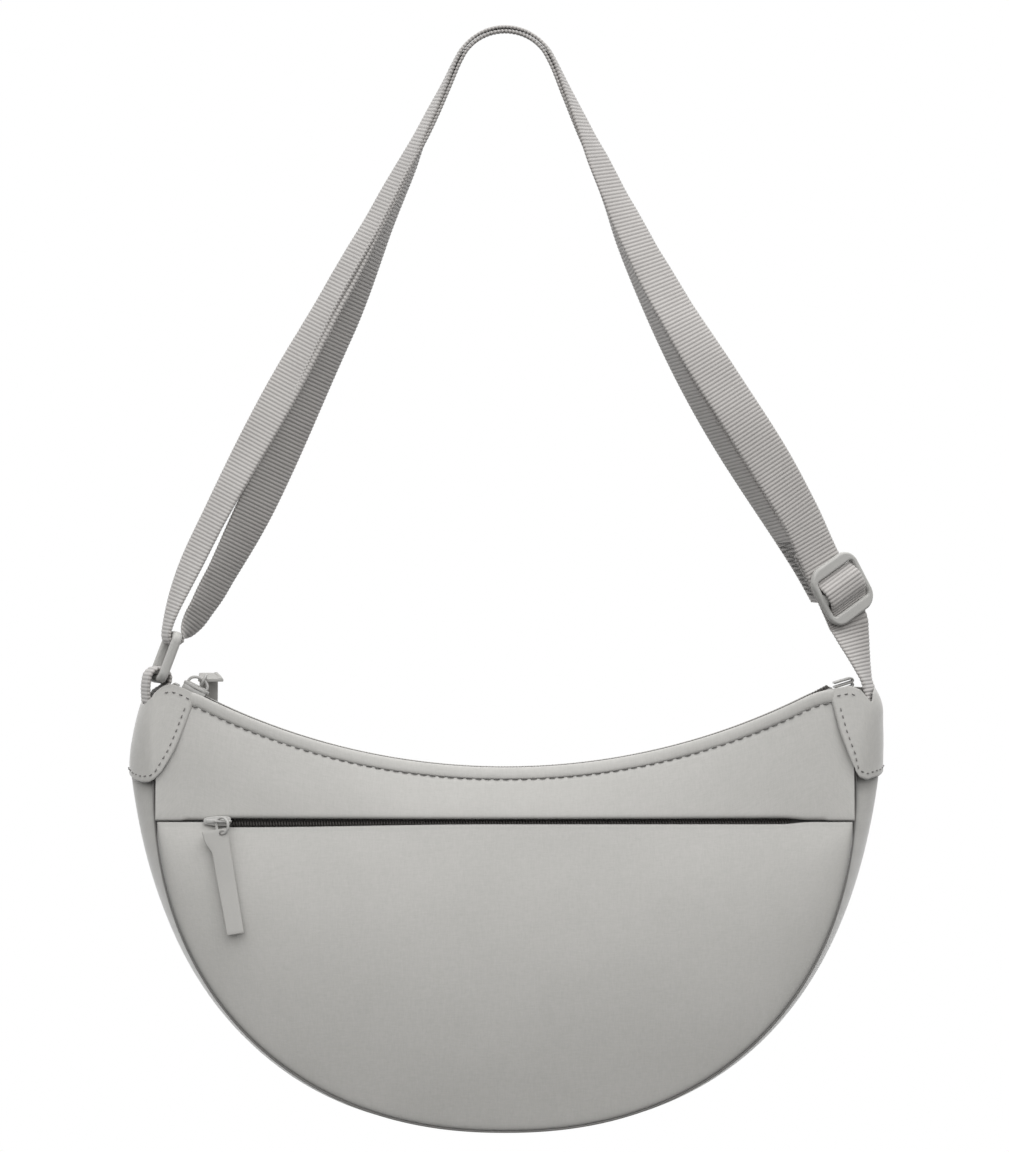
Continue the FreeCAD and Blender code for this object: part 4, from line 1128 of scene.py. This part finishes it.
# The strap's line: up through the slider, over the top, round the ring, and back over the top to its tail
low_way = unit(run_low - foot)
path = [Station(foot - low_way * drop, low_way, foot_twist, outward=right_out) for drop in (10.0, 5.0, 0.0)]
path += arm((foot, low_way), (run_low, low_way), right_out,
            [(0, foot_twist), (0.25, 23), (0.5, 33), (0.75, 45), (1, 58)], 8)
path += [Station(run_low + (run_top - run_low) * (i / 4), -run_dir, across=run_out) for i in range(5)]
path += arm((run_top, -run_dir), (arch_end(outer_r, 1), -leave), right_out,
            [(0, 60), (0.15, 70), (0.3, 66), (0.5, 51), (0.62, 41), (0.75, 29), (0.88, 15), (0.95, 7),
             (1, hang_twist)], 24, sag=-4.5)
path += arch(outer_r, -1)
path += arm((arch_end(outer_r, -1), left_way), (wraps[0].centre, wraps[0].way * 0.35), left_out,
            [(0, hang_twist), (0.05, 7), (0.1, 13), (0.22, 25), (0.34, 35), (0.5, 46), (0.75, 32),
             (1, 12)], 24)
path += wraps
path += arm((wraps[-1].centre, wraps[-1].way * 0.35), (arch_end(inner_r, -1), -left_way), -left_out,
            [(0, -12), (0.03, 10), (0.08, 24), (0.18, 34), (0.35, 50), (0.6, 36), (0.8, 8), (0.9, -6),
             (1, -hang_twist)], 24)
path += arch(inner_r, 1)
end = (glide + run_dir * 1.5 - flat_out * 9.0) * np.array([1, 0, 1])
tail_depth, tail_twist = 13.5, 14
path += arm((arch_end(inner_r, 1), leave), (end, run_dir * 0.8), -right_out,
            [(0, -hang_twist), (0.1, -6), (0.22, 0), (0.35, 10), (0.7, 20), (1, tail_twist)], 16,
            [(0, 0), (0.35, 2), (0.85, tail_depth), (1, tail_depth)], -8.5)
path.append(Station(end + np.array([0, tail_depth, 0]), run_dir, tail_twist, outward=-right_out))


def spline(values, old, new):
    """Smooth values at new places along a line, through the values at its old places."""
    slopes = np.gradient(values, old, axis=0)
    i = np.clip(np.searchsorted(old, new, side="right") - 1, 0, len(old) - 2)
    h = (old[i + 1] - old[i])[:, None]
    t = ((new - old[i]) / h[:, 0])[:, None]
    return curve(values[i], slopes[i] * h, values[i + 1], slopes[i + 1] * h, t)


def ribbon(name, body, node, centres, acrosses, width=web_width):
    """Webbing along a line of places, with ribs, rounded selvedges and closed ends, on its body."""
    centres, acrosses = np.asarray(centres, float), np.asarray(acrosses, float)
    for i in range(1, len(acrosses)):
        if acrosses[i].dot(acrosses[i - 1]) < 0:
            acrosses[i] = -acrosses[i]
    old = lengths(centres, 0)
    total = old[-1]
    new = np.linspace(0, total, max(int(total / rib_pitch * 6), 5))
    middle, side = spline(centres, old, new), unit(spline(acrosses, old, new))
    ways = unit(np.gradient(middle, axis=0))
    side = unit(side - ways * (side * ways).sum(-1, keepdims=True))
    thick = np.cross(ways, side)
    us = np.array([-1, -0.975, -0.9, -0.6, -0.3, 0, 0.3, 0.6, 0.9, 0.975, 1])
    hs = np.array([0, 0.72, 1, 1, 1, 1, 1, 1, 1, 0.72, 0])
    section_u = np.concatenate([us, us[-2:0:-1]])
    section_h = np.concatenate([hs, -hs[-2:0:-1]])
    rib = (0.5 + 0.5 * np.cos(2 * math.pi * new / rib_pitch)) ** 0.4
    half = width / 2 - 0.22 * (1 - rib)
    height = web_thick / 2 - 0.24 * (1 - rib)
    u = section_u[None, :] * half[:, None]
    v = section_h[None, :] * height[:, None]
    points = middle[:, None, :] + side[:, None, :] * u[..., None] + thick[:, None, :] * v[..., None]
    uv = np.stack([u + 30 * (section_h < 0)[None, :], np.broadcast_to(new[:, None], u.shape)], -1)
    made = points.reshape(-1, 3), swept_faces(len(new), len(section_u))
    obj = mesh_piece(name, made, webbing, uv.reshape(-1, 2))
    # rib also carries the painted shade of the valleys between the ribs.
    attribute(obj, "rib", np.broadcast_to(rib[:, None], u.shape))
    settle(obj, body, "webbing", node)


ribbon("strap_ribbon", "strap", "strap_webbing", [s.centre for s in path], [s.across for s in path])

# Loop of webbing that ties the ring to the bag: a drop shape round the ring's lower bar
line = [(-4.4, -14.2), (-4.7, -11.0), (-5.0, -6.5), (-4.9, -2.0), (-3.7, 2.4), (-1.0, 4.3), (2.4, 3.7),
        (4.25, 0.8), (3.4, -2.8), (-0.4, -5.6), (-2.4, -8.4), (-2.8, -11.4), (-2.6, -14.2)]
ribbon("ring_loop_ribbon", "strap", "ring_loop",
       [low_bar + ring_flat * a + np.array([0, 0, b]) for a, b in line],
       [ring_across] * len(line))

# Webbing over the slider's middle bar, the sewn end behind it and the folded seats at the bag's ends
hump = [(-7.9, -1.9), (-6.2, -2.6), (-4.6, -4.0), (-2.8, -5.1), (0.0, -5.4), (2.8, -5.1), (4.6, -4.0),
        (6.2, -2.6), (7.9, -1.9)]
ends = [(0.4, 1.95), (8.0, 1.95), (15.0, 1.95), (20.6, 2.0), (21.7, 2.3), (21.7, 3.3), (20.6, 3.65),
        (15.0, 3.7), (8.0, 3.7), (0.4, 3.7)]
for name, node, line, width in (("strap_weave_ribbon", "strap_weave", hump, 20.7),
                                ("strap_sewn_ribbon", "strap_sewn_end", ends, web_width)):
    ribbon(name, "length_slider", node, [glide - run_dir * a + run_back * b for a, b in line],
           [run_out] * len(line), width)
for x, side, word in ((-147.9, -1, "left"), (neck_x, 1, "right")):
    line = [(x - side * 4.4, y, -290.4) for y in np.linspace(-8.4, 8.4, 8)]
    ribbon(word + "_seat_ribbon", "bag", word + "_strap_seat", line, [np.array([1.0, 0, 0])] * 8,
           7.8)

# Zigzag stitches on the sewn end behind the slider, and along the strap's tail
zigzag = [glide - run_dir * (4.0 + 1.5 * k) + run_out * (4.0 if k % 2 else -4.0) + run_back * 4.6
          for k in range(11)]
row = stitches("strap_end_stitches", [(zigzag, [run_back] * len(zigzag))], 2.7, 0.5, 0.26)
settle(row, "length_slider", "webbing")
tail_centres, tail_acrosses = np.array([s.centre for s in path[-4:]]), np.array([s.across for s in path[-4:]])
tail_run = lengths(tail_centres, 0)
zigzag, outs = [], []
for k in range(24):
    s = tail_run[-1] - 3.0 - 1.2 * k
    across = between(s, tail_run, tail_acrosses)
    out = np.cross(unit(across), path[-1].way)
    out = out * -np.sign(out.dot(flat_out))
    aside = across * (7.5 if k % 2 else -7.5) + out * (web_thick / 2)
    zigzag.append(between(s, tail_run, tail_centres) + aside)
    outs.append(out)
settle(stitches("strap_tail_stitches", [(zigzag, outs)], 2.2, 0.7, 0.26), "strap", "webbing")

# The ring and the length slider keep their solids' shape
for node in ("strap_ring", "strap_slider"):
    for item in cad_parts[node].material_slots:
        item.material = moulded

# Stage: a pale floor, four soft lights, a sky that is brighter above and a camera level with the bag
floor_points = [(350 * math.cos(a), 350 * math.sin(a), -850) for a in np.linspace(0, 2 * math.pi, 65)[:-1]]
pale = material("pale_floor", {"Roughness": 0.8},
                plain((0.7, 0.7, 0.7), (0.74, 0.74, 0.74), 0.8, 60.0, 0.02), "Object")
floor = mesh_piece("floor", (floor_points, [tuple(range(64))]), pale)


def area_light(name, place, aim, width, height, power):
    lamp = bpy.data.lights.new(name, "AREA")
    lamp.shape = "RECTANGLE"
    lamp.size, lamp.size_y, lamp.energy = width, height, power
    obj = bpy.data.objects.new(name, lamp)
    obj.location = place
    obj.rotation_euler = (Vector(aim) - Vector(place)).to_track_quat("-Z", "Y").to_euler()
    bpy.context.scene.collection.objects.link(obj)


area_light("top_light", (-0.15, -1.1, 1.15), (0, 0, -0.33), 1.5, 1.1, 3.0)
area_light("front_light", (-0.4, -2.8, 0.3), (0, 0, -0.3), 1.2, 1.2, 9.0)
area_light("right_light", (0.8, -0.4, 1.2), (0.1, 0, -0.3), 0.8, 0.8, 7.0)
area_light("left_light", (-0.8, -0.4, 1.2), (-0.1, 0, -0.3), 0.8, 0.8, 3.0)

world = bpy.data.worlds.new("studio")
world.use_nodes = True
bpy.context.scene.world = world
tree = world.node_tree
rays = tree.nodes.new("ShaderNodeLightPath").outputs
seen = Socket(tree, rays["Is Camera Ray"])
for kind in ("Is Transmission Ray", "Is Glossy Ray"):
    seen = seen.maths("MAXIMUM", Socket(tree, rays[kind]))
ground = tree.nodes["Background"]
ground.inputs["Color"].default_value = (1.0, 1.0, 1.0, 1.0)
height = Socket(tree, tree.nodes.new("ShaderNodeTexCoord").outputs["Generated"]).part(2)
sky = height.node("ShaderNodeMapRange", {"interpolation_type": "SMOOTHSTEP"},
                  {0: height, 1: -0.1, 2: 0.55, 3: 0.0, 4: 1.6})
tree.links.new((seen + (1.0 - seen) * sky).out, ground.inputs["Strength"])

camera_data = bpy.data.cameras.new("camera")
camera_data.sensor_width = 36.0
camera_data.lens = 190.9
camera = bpy.data.objects.new("camera", camera_data)
camera.location = (-0.0002, -2.6, -0.231)
camera.rotation_euler = (math.pi / 2, 0, 0)
bpy.context.scene.collection.objects.link(camera)
bpy.context.scene.camera = camera
bpy.context.scene.view_settings.view_transform = "Standard"
